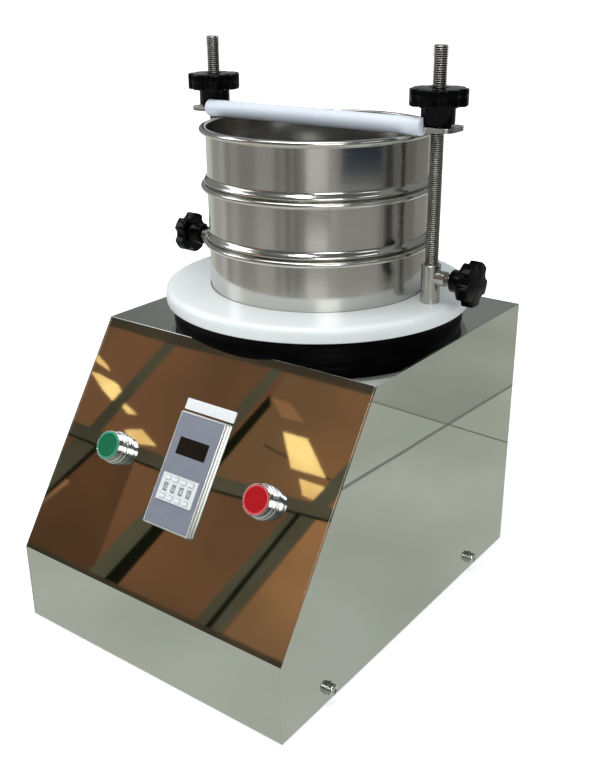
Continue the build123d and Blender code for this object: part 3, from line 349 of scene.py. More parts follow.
@dataclass(frozen=True)
class Finish:
    """A finish with fine grain, soft cloudiness and a slightly uneven surface.

    Attributes:
        name: name of the material.
        color: main colour, linear.
        shade: colour that the cloudiness leans to.
        metallic: 1 for bare metal, 0 for the rest.
        roughness: lowest and highest roughness.
        cloud_scale: size of the cloudiness, larger is finer.
        grain: scale of the fine grain along x, y and z, or along angle, radius and height.
        grain_depth: depth of the grain in metres.
        ripple_scale: scale of the slow ripple of the surface.
        ripple_depth: depth of the slow ripple in metres.
        subsurface: how much light travels inside.
        anisotropy: stretch of highlights across the grain, for brushed metal.
        specular: strength of the plain reflection of a surface that is not metal.
        coords: how the grain runs.
        centre: point that the grain runs about.
    """

    name: str
    color: Color
    shade: Color
    metallic: float = 0.0
    roughness: tuple[float, float] = (0.3, 0.4)
    cloud_scale: float = 14.0
    grain: tuple[float, float, float] = (900.0, 900.0, 900.0)
    grain_depth: float = 0.00002
    ripple_scale: float = 30.0
    ripple_depth: float = 0.0
    subsurface: float = 0.0
    anisotropy: float = 0.0
    specular: float = 0.5
    coords: Coords = Coords.PLAIN
    centre: tuple[float, float, float] = (0.0, 0.0, 0.0)

    def build(self) -> bpy.types.Material:
        """Make the material."""
        bench = NodeBench(self.name)
        point = bench.point(self.centre)
        grain_point = bench.cylinder_point(point) if self.coords is Coords.AROUND_AXIS else point
        grain = bench.noise(bench.stretched(grain_point, self.grain), 1.0, 4.0)
        cloud = bench.noise(point, self.cloud_scale, 3.0)
        bench.feed(bench.shader.inputs["Base Color"], self.tint(bench, cloud, grain))
        rough = bench.math("ADD", bench.math("MULTIPLY", cloud, 0.5), bench.math("MULTIPLY", grain, 0.5))
        bench.feed(bench.shader.inputs["Roughness"], bench.spread(rough, *self.roughness))
        normal = bench.bump(grain, 1.0, self.grain_depth)
        if self.ripple_depth:
            ripple = bench.noise(point, self.ripple_scale, 1.0)
            normal = bench.bump(ripple, 1.0, self.ripple_depth, normal)
        bench.feed(bench.shader.inputs["Normal"], normal)
        bench.shader.inputs["Metallic"].default_value = self.metallic
        bench.shader.inputs["Specular IOR Level"].default_value = self.specular
        bench.shader.inputs["Subsurface Weight"].default_value = self.subsurface
        bench.shader.inputs["Subsurface Radius"].default_value = SUBSURFACE_REACH
        if self.anisotropy:
            bench.shader.inputs["Anisotropic"].default_value = self.anisotropy
            tangent = bench.add("Tangent", {"direction_type": "RADIAL", "axis": "Z"})
            bench.feed(bench.shader.inputs["Tangent"], tangent.outputs[0])
        return bench.material

    def tint(self, bench: NodeBench, cloud: object, grain: object) -> object:
        """Colour from the cloudiness and a touch of the grain."""
        factor = bench.math("ADD", bench.math("MULTIPLY", cloud, 0.7), bench.math("MULTIPLY", grain, 0.3))
        return bench.mix(bench.spread(factor, 0.0, 1.0, 0.35, 0.65), self.color, self.shade)


@dataclass(frozen=True)
class ThreadFinish(Finish):
    """Rolled thread: dull crests, and roots darkened by painted shade and some oil, read from the piece's
    groove attribute.
    """

    # Colour of the roots: painted shade in the grooves, with some oil.
    root: Color = (0.06, 0.055, 0.05)

    def tint(self, bench: NodeBench, cloud: object, grain: object) -> object:
        """Colour that darkens into the grooves with painted shade and oil."""
        base = super().tint(bench, cloud, grain)
        groove = bench.add("Attribute", {"attribute_name": "groove"}).outputs["Fac"]
        return bench.mix(groove, base, self.root)


@dataclass(frozen=True)
class RimFinish(Finish):
    """Moulded cap with a painted highlight on its thin rim, read from the piece's rim attribute."""

    # Colour of the rim's painted highlight.
    rim: Color = (0.5, 0.5, 0.5)

    def tint(self, bench: NodeBench, cloud: object, grain: object) -> object:
        """Colour that lightens on the rim with a painted highlight."""
        base = super().tint(bench, cloud, grain)
        rim = bench.add("Attribute", {"attribute_name": "rim"}).outputs["Fac"]
        return bench.mix(rim, base, self.rim)


class Workshop:
    """All finishes of the machine, made once and found by material slot."""

    def __init__(self, table_centre: tuple[float, float, float]) -> None:
        """Make every finish.

        Args:
            table_centre: point on the upright axis of the table and the sieves.
        """
        finishes = self.list_finishes(table_centre)
        self.finishes = {slot: finish.build() for slot, finish in finishes.items()}

    @staticmethod
    def list_finishes(axis: tuple[float, float, float]) -> dict[str, Finish]:
        """Finishes by material slot of the record."""
        around = {"coords": Coords.AROUND_AXIS, "centre": axis}
        return {
            "housing_steel": Finish(
                "polished_sheet", (0.50, 0.52, 0.48), (0.47, 0.49, 0.46), 1.0, (0.018, 0.038), 9.0,
                (60.0, 60.0, 1400.0), 0.0000015, 7.0, 0.00005),
            "inner_steel": Finish(
                "galvanised_sheet", (0.52, 0.53, 0.54), (0.38, 0.39, 0.41), 1.0, (0.28, 0.5), 60.0,
                (300.0, 300.0, 300.0), 0.00002),
            "screw_steel": Finish(
                "zinc_plate", (0.62, 0.62, 0.6), (0.5, 0.5, 0.47), 1.0, (0.14, 0.28), 120.0,
                (2500.0, 2500.0, 2500.0), 0.00001),
            "foot_rubber": Finish(
                "foot_rubber", (0.018, 0.018, 0.018), (0.03, 0.03, 0.029), 0.0, (0.6, 0.8), 60.0,
                (2000.0, 2000.0, 2000.0), 0.00004),
            "skirt_rubber": Finish(
                "skirt_rubber", (0.0012, 0.0012, 0.0012), (0.0025, 0.0025, 0.0025), 0.0, (0.3, 0.42), 25.0,
                (120.0, 4000.0, 4000.0), 0.00001, specular=0.03, **around),
            "gland_black": Finish(
                "gland_nylon", (0.02, 0.02, 0.021), (0.032, 0.032, 0.032), 0.0, (0.35, 0.5), 80.0,
                (1500.0, 1500.0, 1500.0), 0.00003),
            "spring_steel": Finish(
                "spring_wire", (0.25, 0.25, 0.25), (0.16, 0.15, 0.14), 1.0, (0.25, 0.4), 90.0,
                (1500.0, 1500.0, 1500.0), 0.00002),
            "table_nylon": Finish(
                "turned_nylon", (0.80, 0.83, 0.81), (0.75, 0.78, 0.765), 0.0, (0.26, 0.38), 10.0,
                (4.0, 3500.0, 3500.0), 0.000012, 12.0, 0.00006, subsurface=0.25, **around),
            "motor_iron": Finish(
                "motor_paint", (0.10, 0.13, 0.15), (0.07, 0.09, 0.1), 0.0, (0.4, 0.6), 40.0,
                (700.0, 700.0, 700.0), 0.00012),
            "shaft_steel": Finish(
                "socket_steel", (0.56, 0.55, 0.53), (0.47, 0.46, 0.44), 1.0, (0.16, 0.3), 60.0,
                (200.0, 200.0, 2600.0), 0.000012),
            "sieve_steel": Finish(
                "spun_steel", (0.63, 0.62, 0.59), (0.55, 0.54, 0.51), 1.0, (0.10, 0.19), 16.0,
                (14.0, 600.0, 3600.0), 0.000005, 18.0, 0.00008, anisotropy=0.7, **around),
            "mesh_steel": Finish(
                "woven_wire", (0.5, 0.5, 0.48), (0.4, 0.4, 0.38), 1.0, (0.22, 0.36), 90.0,
                (1200.0, 1200.0, 1200.0), 0.00001),
            # Thread whose roots are darkened by painted shade and some oil.
            "rod_steel": ThreadFinish(
                "rolled_thread", (0.50, 0.48, 0.45), (0.36, 0.34, 0.32), 1.0, (0.2, 0.36), 60.0,
                (1500.0, 1500.0, 1500.0), 0.00002),
            "knob_black": Finish(
                "black_phenolic", (0.0010, 0.0010, 0.0012), (0.0022, 0.0022, 0.0024), 0.0, (0.07, 0.13), 60.0,
                (900.0, 900.0, 900.0), 0.000006, 160.0, 0.00004, specular=0.1),
            "bar_nylon": Finish(
                "bar_nylon", (0.68, 0.72, 0.78), (0.64, 0.68, 0.74), 0.0, (0.3, 0.42), 20.0,
                (12.0, 2500.0, 2500.0), 0.00002, 40.0, 0.00008, subsurface=0.5),
            "button_chrome": Finish(
                "plated_brass", (0.68, 0.68, 0.69), (0.62, 0.62, 0.62), 1.0, (0.14, 0.24), 120.0,
                (1800.0, 1800.0, 1800.0), 0.000004),
            # The caps' rim colours are painted highlights on their rims.
            "cap_green": RimFinish(
                "green_cap", (0.001, 0.14, 0.06), (0.001, 0.12, 0.052), 0.0, (0.26, 0.36), 90.0,
                (1500.0, 1500.0, 1500.0), 0.00001, 60.0, 0.00004, subsurface=0.1, specular=0.2,
                rim=(0.05, 0.32, 0.19)),
            "cap_red": RimFinish(
                "red_cap", (0.39, 0.003, 0.008), (0.35, 0.002, 0.006), 0.0, (0.26, 0.36), 90.0,
                (1500.0, 1500.0, 1500.0), 0.00001, 60.0, 0.00004, subsurface=0.1, specular=0.2,
                rim=(0.6, 0.10, 0.10)),
            "switch_grey": Finish(
                "switch_block", (0.12, 0.125, 0.13), (0.09, 0.095, 0.1), 0.0, (0.4, 0.55), 60.0,
                (1200.0, 1200.0, 1200.0), 0.00003),
            "timer_silver": Finish(
                "silver_frame", (0.72, 0.73, 0.73), (0.66, 0.67, 0.67), 0.75, (0.24, 0.34), 60.0,
                (2400.0, 2400.0, 2400.0), 0.000004),
            "timer_blue_grey": Finish(
                "timer_face", (0.195, 0.215, 0.255), (0.18, 0.2, 0.238), 0.0, (0.34, 0.46), 70.0,
                (2600.0, 2600.0, 2600.0), 0.00002),
            "window_dark": Finish(
                "display_window", (0.002, 0.002, 0.002), (0.004, 0.003, 0.003), 0.0, (0.16, 0.24), 80.0,
                (1500.0, 1500.0, 1500.0), 0.000004),
            "wheel_white": Finish(
                "wheel_block", (0.70, 0.72, 0.71), (0.64, 0.66, 0.65), 0.0, (0.35, 0.5), 90.0,
                (2200.0, 2200.0, 2200.0), 0.00002),
            "tab_white": Finish(
                "push_tab", (0.76, 0.78, 0.78), (0.7, 0.72, 0.72), 0.0, (0.25, 0.4), 90.0,
                (2200.0, 2200.0, 2200.0), 0.00001),
            "plate_white": Finish(
                "blank_plate", (0.78, 0.79, 0.79), (0.74, 0.75, 0.75), 0.0, (0.25, 0.36), 60.0,
                (2000.0, 2000.0, 2000.0), 0.00001),
            "digit_ink": Finish(
                "digit_ink", (0.012, 0.012, 0.014), (0.02, 0.02, 0.022), 0.0, (0.4, 0.55), 200.0,
                (3000.0, 3000.0, 3000.0), 0.00001),
        }

    def dress(self, piece: bpy.types.Object, slot: str) -> None:
        """Give a piece the finish of a slot, in place of what it has."""
        piece.data.materials.clear()
        piece.data.materials.append(self.finishes[slot])


@dataclass
class Assembly:
    """Common ground of the sub-assemblies.

    Attributes:
        workshop: the finishes.
    """

    workshop: Workshop

    def fit(self, piece: bpy.types.Object, slot: str, *nodes: str,
            record_slot: Optional[str] = None) -> None:
        """Dress a piece, let it stand for the given nodes and move with the first one's body.

        Args:
            piece: the finished object.
            slot: finish to use.
            nodes: construction nodes that it replaces.
            record_slot: not used; the record's slot where the finish is not itself one.
        """
        self.workshop.dress(piece, slot)
        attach(piece, BODY_OF[nodes[0]])
        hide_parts(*nodes)
        LOG.info("%s stands for %s", piece.name, ", ".join(nodes))

    def add_detail(self, piece: bpy.types.Object, slot: str, body: str, record_slot: str) -> None:
        """Dress a piece that replaces nothing and rides on a body."""
        self.workshop.dress(piece, slot)
        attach(piece, body)
        LOG.info("%s rides on %s", piece.name, body)


def middle(node: str) -> tuple[float, float, float]:
    """Centre of a node's box."""
    low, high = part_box(node)
    return tuple((low + high) / 2)


def radius_of(node: str) -> float:
    """Half the width of a node's box."""
    low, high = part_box(node)
    return (high.x - low.x) / 2


@dataclass
class Housing(Assembly):
    """Sheet-metal box and its small parts, with rounded folds and edges, and the rubber skirt.

    Attributes:
        fold_round: radius that the bends get.
        small_round: radius that small parts' edges get.
        skirt_wall: thickness of the skirt.
        skirt_wave: depth of the skirt's fold.
        segments: points around the skirt.
    """

    fold_round: float = 1.3 * MM
    small_round: float = 0.12 * MM
    skirt_wall: float = 4.0 * MM
    skirt_wave: float = 1.6 * MM
    segments: int = 192

    def build(self) -> None:
        """Round the folded sheet's and small parts' edges and make the rubber skirt."""
        round_edges("wrap_panel", self.fold_round, 4)
        for node in ("side_screws", "side_washers", "cable_gland", "name_plate"):
            round_edges(node, self.small_round, 2)
        self.make_skirt()

    def make_skirt(self) -> None:
        """Bellows skirt: its radius follows outer - wave (1 - cos(turns v)) / 2 down its height v."""
        low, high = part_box("rubber_skirt")
        outer, wall = radius_of("rubber_skirt"), self.skirt_wall
        v = np.linspace(0.0, 1.0, 25)
        wave = self.skirt_wave * (1 - np.cos(TAU * v)) / 2
        height = low.z + v * (high.z - low.z)
        outside = np.stack([outer - wave, height], axis=1)
        inside = np.stack([outer - wall - wave, height], axis=1)[::-1]
        profile = np.concatenate([outside, inside])
        grid = turned_grid(profile, self.segments, Place(origin=(*middle("rubber_skirt")[:2], 0.0)))
        self.fit(grid_piece("bellows_skirt", grid, wrap_rows=True), "skirt_rubber", "rubber_skirt")


def round_edges(node: str, width: float, segments: int) -> None:
    """Round a construction node's edges by modifiers, its mesh left as it is.

    Loose triangles are welded, flat ones merged, edges sharper than 25 degrees bevelled, and
    the large faces keep their flat shading.

    Args:
        node: name of the node.
        width: width of the bevel.
        segments: spans in the bevel.
    """
    obj = FRAME["nodes"][node]
    weld = obj.modifiers.new("weld", "WELD")
    weld.merge_threshold = 0.01 * MM
    merge = obj.modifiers.new("merged_flats", "DECIMATE")
    merge.decimate_type = "DISSOLVE"
    merge.angle_limit = math.radians(0.2)
    bevel = obj.modifiers.new("edges", "BEVEL")
    bevel.width = width
    bevel.segments = segments
    bevel.limit_method = "ANGLE"
    bevel.angle_limit = math.radians(25)
    bevel.use_clamp_overlap = True
    flat = obj.modifiers.new("flat_faces", "WEIGHTED_NORMAL")
    flat.mode = "FACE_AREA"
    flat.weight = 100


@dataclass
class Table(Assembly):
    """Nylon table disc, turned with a generous round edge and a recess for the pan.

    Attributes:
        recess_depth: depth of the pan's recess.
        recess_radius: radius of the pan's recess.
        edge_round: reach of the round top edge.
        chamfer: width of the lower edge's chamfer.
        socket_round: radius of the rod sockets' edges.
        segments: points around the disc.
    """

    recess_depth: float = 3.5 * MM
    recess_radius: float = 101.9 * MM
    edge_round: float = 7.0 * MM
    chamfer: float = 1.2 * MM
    socket_round: float = 0.3 * MM
    segments: int = 256

    def build(self) -> None:
        """Make the disc and round the edges of the steel sockets."""
        low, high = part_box("table_disc")
        radius = radius_of("table_disc")
        recess, bed = self.recess_radius, high.z - self.recess_depth
        rim = np.array([(recess, high.z), (radius, high.z), (radius, low.z + self.chamfer),
                        (radius - self.chamfer, low.z), (0.0, low.z)])
        outer = soften(rim, self.edge_round, 10, closed=False)
        inner = np.array([(0.0, bed), (recess - 0.3 * MM, bed), (recess, bed + 0.3 * MM),
                          (recess, high.z - 0.4 * MM), (recess + 0.4 * MM, high.z)])
        profile = np.concatenate([inner, outer[1:]])
        place = Place(origin=(*middle("table_disc")[:2], 0.0))
        grid = turned_grid(profile, self.segments, place)
        self.fit(grid_piece("nylon_table", grid), "table_nylon", "table_disc")
        for side in Side:
            round_edges(f"{side.word}_rod_socket", self.socket_round, 2)


@dataclass
class SieveStack(Assembly):
    """Receiver pan and two sieves, spun from sheet, with woven wire in the sieves.

    Attributes:
        wall: radius of the outside of the wall.
        sheet: thickness of the wall.
        bead: radius of the rolled rim.
        flare: how far the foot stands out from the wall.
        flare_height: height over which it does.
        rim_to_foot: height of a sieve from its foot to its rim.
        rim_to_cloth: depth of the wire cloth under the rim.
        nest_gap: gap between the nesting skirt and the wall under it.
        wire_pitch: distance between neighbouring wires.
        wire: diameter of a wire.
        smooth: edges that turn more than this many degrees stay crisp.
        segments: points around.
    """

    wall: float = 101.4 * MM
    sheet: float = 0.8 * MM
    bead: float = 2.5 * MM
    flare: float = 3.0 * MM
    flare_height: float = 8.2 * MM
    rim_to_foot: float = 50.0 * MM
    rim_to_cloth: float = 40.0 * MM
    nest_gap: float = 0.5 * MM
    wire_pitch: float = 3.0 * MM
    wire: float = 0.8 * MM
    smooth: float = 50.0
    segments: int = 256

    def build(self) -> None:
        """Make the pan, the frames and their wire cloth."""
        self.make_pan()
        for word in ("lower", "top"):
            self.make_frame(word)
            self.make_cloth(word)

    def rim_profile(self, top: float, outer: float) -> Array:
        """Rolled rim: a circle tangent to the rim's plane, opening into the wall.

        Args:
            top: height of the rim.
            outer: radius of the rim's outside.

        Returns:
            Profile from the wall's inner top corner out over the bead and back to the wall.
        """
        turn = np.linspace(math.pi / 2, -math.pi * 0.62, 18)
        centre = np.array([outer - self.bead, top - self.bead])
        bead = centre + self.bead * np.stack([np.cos(turn), np.sin(turn)], axis=1)
        inner = self.wall - self.sheet
        lead = np.array([(inner, top - 1.9 * MM), (inner, top - 1.2 * MM),
                         (inner + 0.25 * MM, top - 0.35 * MM), (inner + 0.9 * MM, top)])
        tuck = np.array([(self.wall + 0.5 * MM, top - 2.05 * self.bead), (self.wall, top - 2.3 * self.bead),
                         (self.wall, top - 2.5 * self.bead)])
        return np.concatenate([lead, bead, tuck])

    def place(self, node: str) -> Place:
        """Upright frame on a node's axis."""
        return Place(origin=(*middle(node)[:2], 0.0))

    def make_pan(self) -> None:
        """Closed pan with the same rim, its floor a shallow dish."""
        low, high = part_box("receiver_pan")
        outer = radius_of("receiver_pan")
        inner = self.wall - self.sheet
        floor = low.z + self.sheet
        outside = np.array([(self.wall, low.z + 2.2 * MM), (self.wall, low.z + 1.6 * MM),
                            (self.wall - 0.4 * MM, low.z + 0.5 * MM), (self.wall - 1.6 * MM, low.z),
                            (0.0, low.z)])
        inside = np.array([(0.0, floor), (inner - 8 * MM, floor), (inner - 2.0 * MM, floor + 0.6 * MM),
                           (inner, floor + 4.0 * MM), (inner, floor + 5.0 * MM)])
        profile = np.concatenate([self.rim_profile(high.z, outer), outside, inside])
        grid = turned_grid(profile, self.segments, self.place("receiver_pan"))
        pan = grid_piece("receiver", grid, wrap_rows=True, smooth_degrees=self.smooth)
        self.fit(pan, "sieve_steel", "receiver_pan")

    def make_frame(self, word: str) -> None:
        """Sieve frame: rim, wall, foot that flares along a smooth S, and the nesting skirt.

        The flare's radius is wall + flare (3 s^2 - 2 s^3) for s from 0 to 1 down its height.

        Args:
            word: which sieve, as in the node's name.
        """
        node = f"{word}_sieve_frame"
        low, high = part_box(node)
        outer = radius_of(node)
        foot = high.z - self.rim_to_foot
        s = np.linspace(0.0, 1.0, 9)
        flare = np.stack([self.wall + self.flare * (3 * s ** 2 - 2 * s ** 3),
                          foot + self.flare_height - s * (self.flare_height - 2.4 * MM)], axis=1)
        flare = np.concatenate([[(self.wall, foot + self.flare_height + 0.6 * MM)], flare])
        lip = np.array([(self.wall + self.flare - 0.3 * MM, foot + 1.9 * MM),
                        (self.wall + self.flare - 1.0 * MM, foot + 1.7 * MM),
                        (self.wall + 0.9 * MM, foot + 1.5 * MM), (self.wall + 0.3 * MM, foot)])
        nest_out = self.wall - self.sheet - self.nest_gap
        nest_in = nest_out - self.sheet
        cloth = high.z - self.rim_to_cloth
        inner = self.wall - self.sheet
        nest = np.array([(nest_out + 0.6 * MM, foot), (nest_out, foot - 0.6 * MM), (nest_out, low.z),
                         (nest_in, low.z), (nest_in, foot + 1.0 * MM),
                         (inner - 3.0 * MM, cloth - 3.8 * MM), (inner - 3.0 * MM, cloth - 0.8 * MM),
                         (inner - 1.2 * MM, cloth - 0.8 * MM), (inner, cloth + 1.0 * MM),
                         (inner, cloth + 1.6 * MM)])
        profile = np.concatenate([self.rim_profile(high.z, outer), flare, lip, nest])
        grid = turned_grid(profile, self.segments, self.place(node))
        piece = grid_piece(f"{word}_sieve_shell", grid, wrap_rows=True, smooth_degrees=self.smooth)
        self.fit(piece, "sieve_steel", node)

    def make_cloth(self, word: str) -> None:
        """Woven wire: each wire's height follows amplitude cos(pi s / pitch), neighbours opposed.

        A wire is a square tube of four points around, swept along its height's curve.

        Args:
            word: which sieve, as in the node's name.
        """
        node = f"{word}_sieve_mesh"
        centre = np.array(middle(node))
        radius = radius_of(node)
        count = int(radius / self.wire_pitch)
        offsets = (np.arange(-count, count + 1)) * self.wire_pitch
        half = np.sqrt(np.maximum(radius ** 2 - offsets ** 2, (2 * MM) ** 2))
        steps = 6 * count
        u = np.linspace(-1.0, 1.0, steps)
        along = half[:, None] * u[None]
        phase = np.arange(len(offsets)) % 2 * math.pi
        rise = 0.45 * self.wire * np.cos(math.pi * along / self.wire_pitch + phase[:, None])
        around = np.arange(4) * TAU / 4 + TAU / 8
        across = offsets[:, None, None] + 0.5 * self.wire * np.cos(around)
        height = rise[:, :, None] + 0.5 * self.wire * np.sin(around)
        shape = (len(offsets), steps, 4)
        parts = [np.broadcast_to(p, shape) for p in (along[:, :, None], across, height)]
        quads = grid_faces(steps, 4, False, True)
        faces = (quads[None] + (np.arange(len(offsets)) * steps * 4)[:, None, None]).reshape(-1, 4)
        for name, order, sign in (("warp", (0, 1, 2), 1.0), ("weft", (1, 0, 2), -1.0)):
            local = np.stack([parts[order[0]], parts[order[1]], sign * parts[2]], axis=-1)
            points = (local + centre).reshape(-1, 3)
            piece = make_piece(f"{word}_cloth_{name}", points, faces, 80.0)
            self.fit(piece, "mesh_steel", node)


@dataclass(frozen=True)
class Star:
    """Outline of a star handle.

    Attributes:
        radius: radius over the lobes.
        scallop: radius of a scallop.
        depth: depth of a scallop.
        lobes: number of lobes.
        soft: reach over which a lobe runs into a scallop.
        turn: angle of the first scallop, in degrees.
        segments: points around.
    """

    radius: float
    scallop: float
    depth: float
    lobes: int
    soft: float
    turn: float = 0.0
    segments: int = 240

    def reach(self, angle: Array) -> Array:
        """Outline by angle.

        A scallop's circle, radius s, has its centre at D = radius - depth + s. The ray at
        angle f from it meets the circle at D cos f - sqrt(s^2 - D^2 sin^2 f). The outline is
        the smooth minimum of that and the full radius.

        Args:
            angle: angles about the handle's axis.

        Returns:
            Radius at each angle.
        """
        step = TAU / self.lobes
        f = (angle - math.radians(self.turn)) % step - step / 2
        centre = self.radius - self.depth + self.scallop
        inside = np.maximum(self.scallop ** 2 - (centre * np.sin(f)) ** 2, 0.0)
        hollow = np.where(inside > 0, centre * np.cos(f) - np.sqrt(inside), centre)
        blend = np.clip(0.5 + 0.5 * (hollow - self.radius) / self.soft, 0.0, 1.0)
        return hollow * (1 - blend) + self.radius * blend - self.soft * blend * (1 - blend)

    def grid(self, profile: Array) -> Array:
        """Carry a profile around the outline: (reach cos a, reach sin a, height).

        Args:
            profile: rows of scale of the outline, inset, height and plain radius; the reach is
                scale times (outline less inset) plus the plain radius.

        Returns:
            Grid of local points.
        """
        angle = np.arange(self.segments) * TAU / self.segments
        scale, inset, height, circle = (profile[:, i:i + 1] for i in range(4))
        reach = scale * (self.reach(angle)[None] - inset) + circle
        height = np.broadcast_to(height, reach.shape)
        return np.stack([reach * np.cos(angle), reach * np.sin(angle), height], axis=-1)


@dataclass
class Clamp(Assembly):
    """Threaded rods and studs, moulded star handles, strip and bar.

    Attributes:
        rod_pitch: pitch of the rods' thread.
        stud_pitch: pitch of the lock studs' thread.
        thread_depth: depth of the thread.
        slot: width and depth of the slot in a rod's top.
        nut_star: outline of the star nuts.
        nut_turns: turn of each star nut, in degrees.
        nut_bore: radius of the nuts' bore.
        knob_star: outline of the lock knobs.
        knob_turns: turn of each lock knob, in degrees.
        strip_round: radius of the strip's edges.
        bar_round: radius of the bar's edges.
        smooth: edges of a handle that turn more than this many degrees stay crisp.
    """

    rod_pitch: float = 1.75 * MM
    stud_pitch: float = 1.5 * MM
    thread_depth: float = 0.95 * MM
    slot: float = 1.5 * MM
    nut_star: Star = Star(24.5 * MM, 6.5 * MM, 2.8 * MM, 7, 1.6 * MM)
    nut_turns: tuple[float, float] = (-40.0, -35.0)
    nut_bore: float = 6.1 * MM
    knob_star: Star = Star(20.0 * MM, 7.5 * MM, 3.8 * MM, 5, 1.6 * MM)
    knob_turns: tuple[float, float] = (38.0, 16.0)
    strip_round: float = 0.35 * MM
    bar_round: float = 0.3 * MM
    smooth: float = 42.0

    def build(self) -> None:
        """Make rods, studs, star nuts and lock knobs, and round the strip and the bar."""
        for side, nut_turn, knob_turn in zip(Side, self.nut_turns, self.knob_turns):
            self.make_rod(side)
            self.make_stud(side)
            self.make_nut(side, nut_turn)
            self.make_knob(side, knob_turn)
        round_edges("clamp_strip", self.strip_round, 2)
        round_edges("clamp_bar", self.bar_round, 2)

    def thread_piece(self, name: str, radius: float, length: float, pitch: float,
                     place: Place) -> bpy.types.Object:
        """Threaded bar with chamfered ends.

        The radius at angle a and height z is crest - depth g, where g is
        1.35 (0.5 + 0.5 cos(2 pi (z / pitch - a / 2 pi))) - 0.15 held between 0 and 1, and no
        more than the end chamfer allows.

        Args:
            name: name of the piece.
            radius: crest radius.
            length: full length, from z = 0.
            pitch: rise of the thread in one turn.
            place: local frame with the bar along z.

        Returns:
            The new object, with a groove attribute that is 1 at the root.
        """
        segments, rows_in_turn = 28, 8
        z = np.linspace(0.0, length, int(length / pitch * rows_in_turn))[:, None]
        angle = np.arange(segments)[None] * TAU / segments
        wave = 0.5 + 0.5 * np.cos(TAU * ((z / pitch - angle / TAU) % 1.0))
        groove = np.clip(1.35 * wave - 0.15, 0.0, 1.0)
        chamfer = radius - self.thread_depth + np.minimum(z, length - z)
        bar = np.minimum(radius - self.thread_depth * groove, np.maximum(chamfer, radius - 1.2 * MM))
        grid = np.stack([bar * np.cos(angle), bar * np.sin(angle), np.broadcast_to(z, bar.shape)], axis=-1)
        caps = [np.broadcast_to(np.array([0.0, 0.0, end]), (1, segments, 3)) for end in (0.0, length)]
        grid = np.concatenate([caps[0], grid, caps[1]])
        piece = grid_piece(name, place.put(grid), smooth_degrees=55.0)
        store_groove(piece, place, radius, self.thread_depth)
        return piece

    def make_rod(self, side: Side) -> None:
        """Tie rod with a screwdriver slot in its top."""
        node = f"{side.word}_tie_rod"
        low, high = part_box(node)
        centre = middle(node)[:2]
        rod = self.thread_piece(f"{side.word}_threaded_rod", radius_of(node), high.z - low.z,
                                self.rod_pitch, Place(origin=(*centre, low.z)))
        cut_slot(rod, Vector((*centre, high.z)), self.slot, self.slot)
        self.fit(rod, "rod_steel", node)

    def make_stud(self, side: Side) -> None:
        """Lock stud between the boss and the knob."""
        node = f"{side.word}_lock_stud"
        low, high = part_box(node)
        centre = middle(node)
        start = low.x if side is Side.RIGHT else high.x
        place = Place(origin=(start, centre[1], centre[2]), x_axis=(0.0, -side.sign, 0.0),
                      y_axis=(0.0, 0.0, 1.0), z_axis=(side.sign, 0.0, 0.0))
        radius = (high.z - low.z) / 2
        stud = self.thread_piece(f"{side.word}_threaded_stud", radius, high.x - low.x,
                                 self.stud_pitch, place)
        self.fit(stud, "rod_steel", node, record_slot="shaft_steel")

    @staticmethod
    def plain_rows(profile: Array) -> Array:
        """Rows of a star's profile for a plain turned part, from rows of radius and height."""
        zero = np.zeros(len(profile))
        return np.stack([zero, zero, profile[:, 1], profile[:, 0]], axis=1)

    @staticmethod
    def handle_rows(low: float, high: float, round_edge: float, inner_low: float, inner_high: float,
                    crown: float) -> Array:
        """Profile of a star handle from its underside, over its side, to its top.

        The edge is a quarter circle above and below: inset = r (1 - cos b), height = r (1 - sin b).
        Rows hold scale of the outline, inset, height and a plain circle's radius.

        Args:
            low: height of the underside.
            high: height of the top's edge.
            round_edge: radius of the edges.
            inner_low: radius at which the underside ends.
            inner_high: radius at which the top ends.
            crown: rise of the top's middle above its edge.

        Returns:
            The profile's rows.
        """
        b = np.linspace(0.0, math.pi / 2, 6)
        zero, one = np.zeros_like(b), np.ones_like(b)
        near, far = round_edge * (1 - np.cos(b)), round_edge * (1 - np.sin(b))
        lower = np.stack([one, far, low + near, zero], axis=1)
        upper = np.stack([one, near, high - far, zero], axis=1)
        s = np.linspace(0.15, 1.0, 8)
        rise = crown * (1 - (1 - s) ** 2)
        top = np.stack([1 - s, round_edge * np.ones_like(s), high + rise, s * inner_high], axis=1)
        under = np.array([(0.0, 0.0, low, inner_low), (0.5, round_edge, low, 0.5 * inner_low)])
        return np.concatenate([under, lower, upper, top])

    def make_nut(self, side: Side, turn: float) -> None:
        """Star nut: spigot, hub and handle with a low crown round the rod.

        Args:
            side: which side's nut.
            turn: turn of its outline, in degrees.
        """
        node = f"{side.word}_star_nut"
        low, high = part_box(node)
        bore, foot, top = self.nut_bore, low.z, high.z
        step, plate = foot + 1.5 * MM, foot + 16.0 * MM
        hub = np.array([(bore, foot), (11.2 * MM, foot), (11.5 * MM, foot + 0.3 * MM),
                        (11.5 * MM, step - 0.2 * MM), (11.7 * MM, step), (13.7 * MM, step),
                        (14.2 * MM, step + 0.3 * MM), (14.4 * MM, step + 0.9 * MM),
                        (14.4 * MM, plate - 1.0 * MM), (15.0 * MM, plate)])
        rows = self.handle_rows(plate, top - 0.9 * MM, 1.6 * MM, 15.0 * MM, 9.2 * MM, 0.4 * MM)
        boss = np.array([(8.8 * MM, top - 0.5 * MM), (8.2 * MM, top - 0.15 * MM), (7.4 * MM, top),
                         (bore, top), (bore, foot)])
        profile = np.concatenate([self.plain_rows(hub), rows[1:], self.plain_rows(boss)])
        grid = replace(self.nut_star, turn=turn).grid(profile)
        place = Place(origin=(*middle(f"{side.word}_tie_rod")[:2], 0.0))
        piece = grid_piece(f"{side.word}_star_handle", place.put(grid), smooth_degrees=self.smooth)
        self.fit(piece, "knob_black", node)

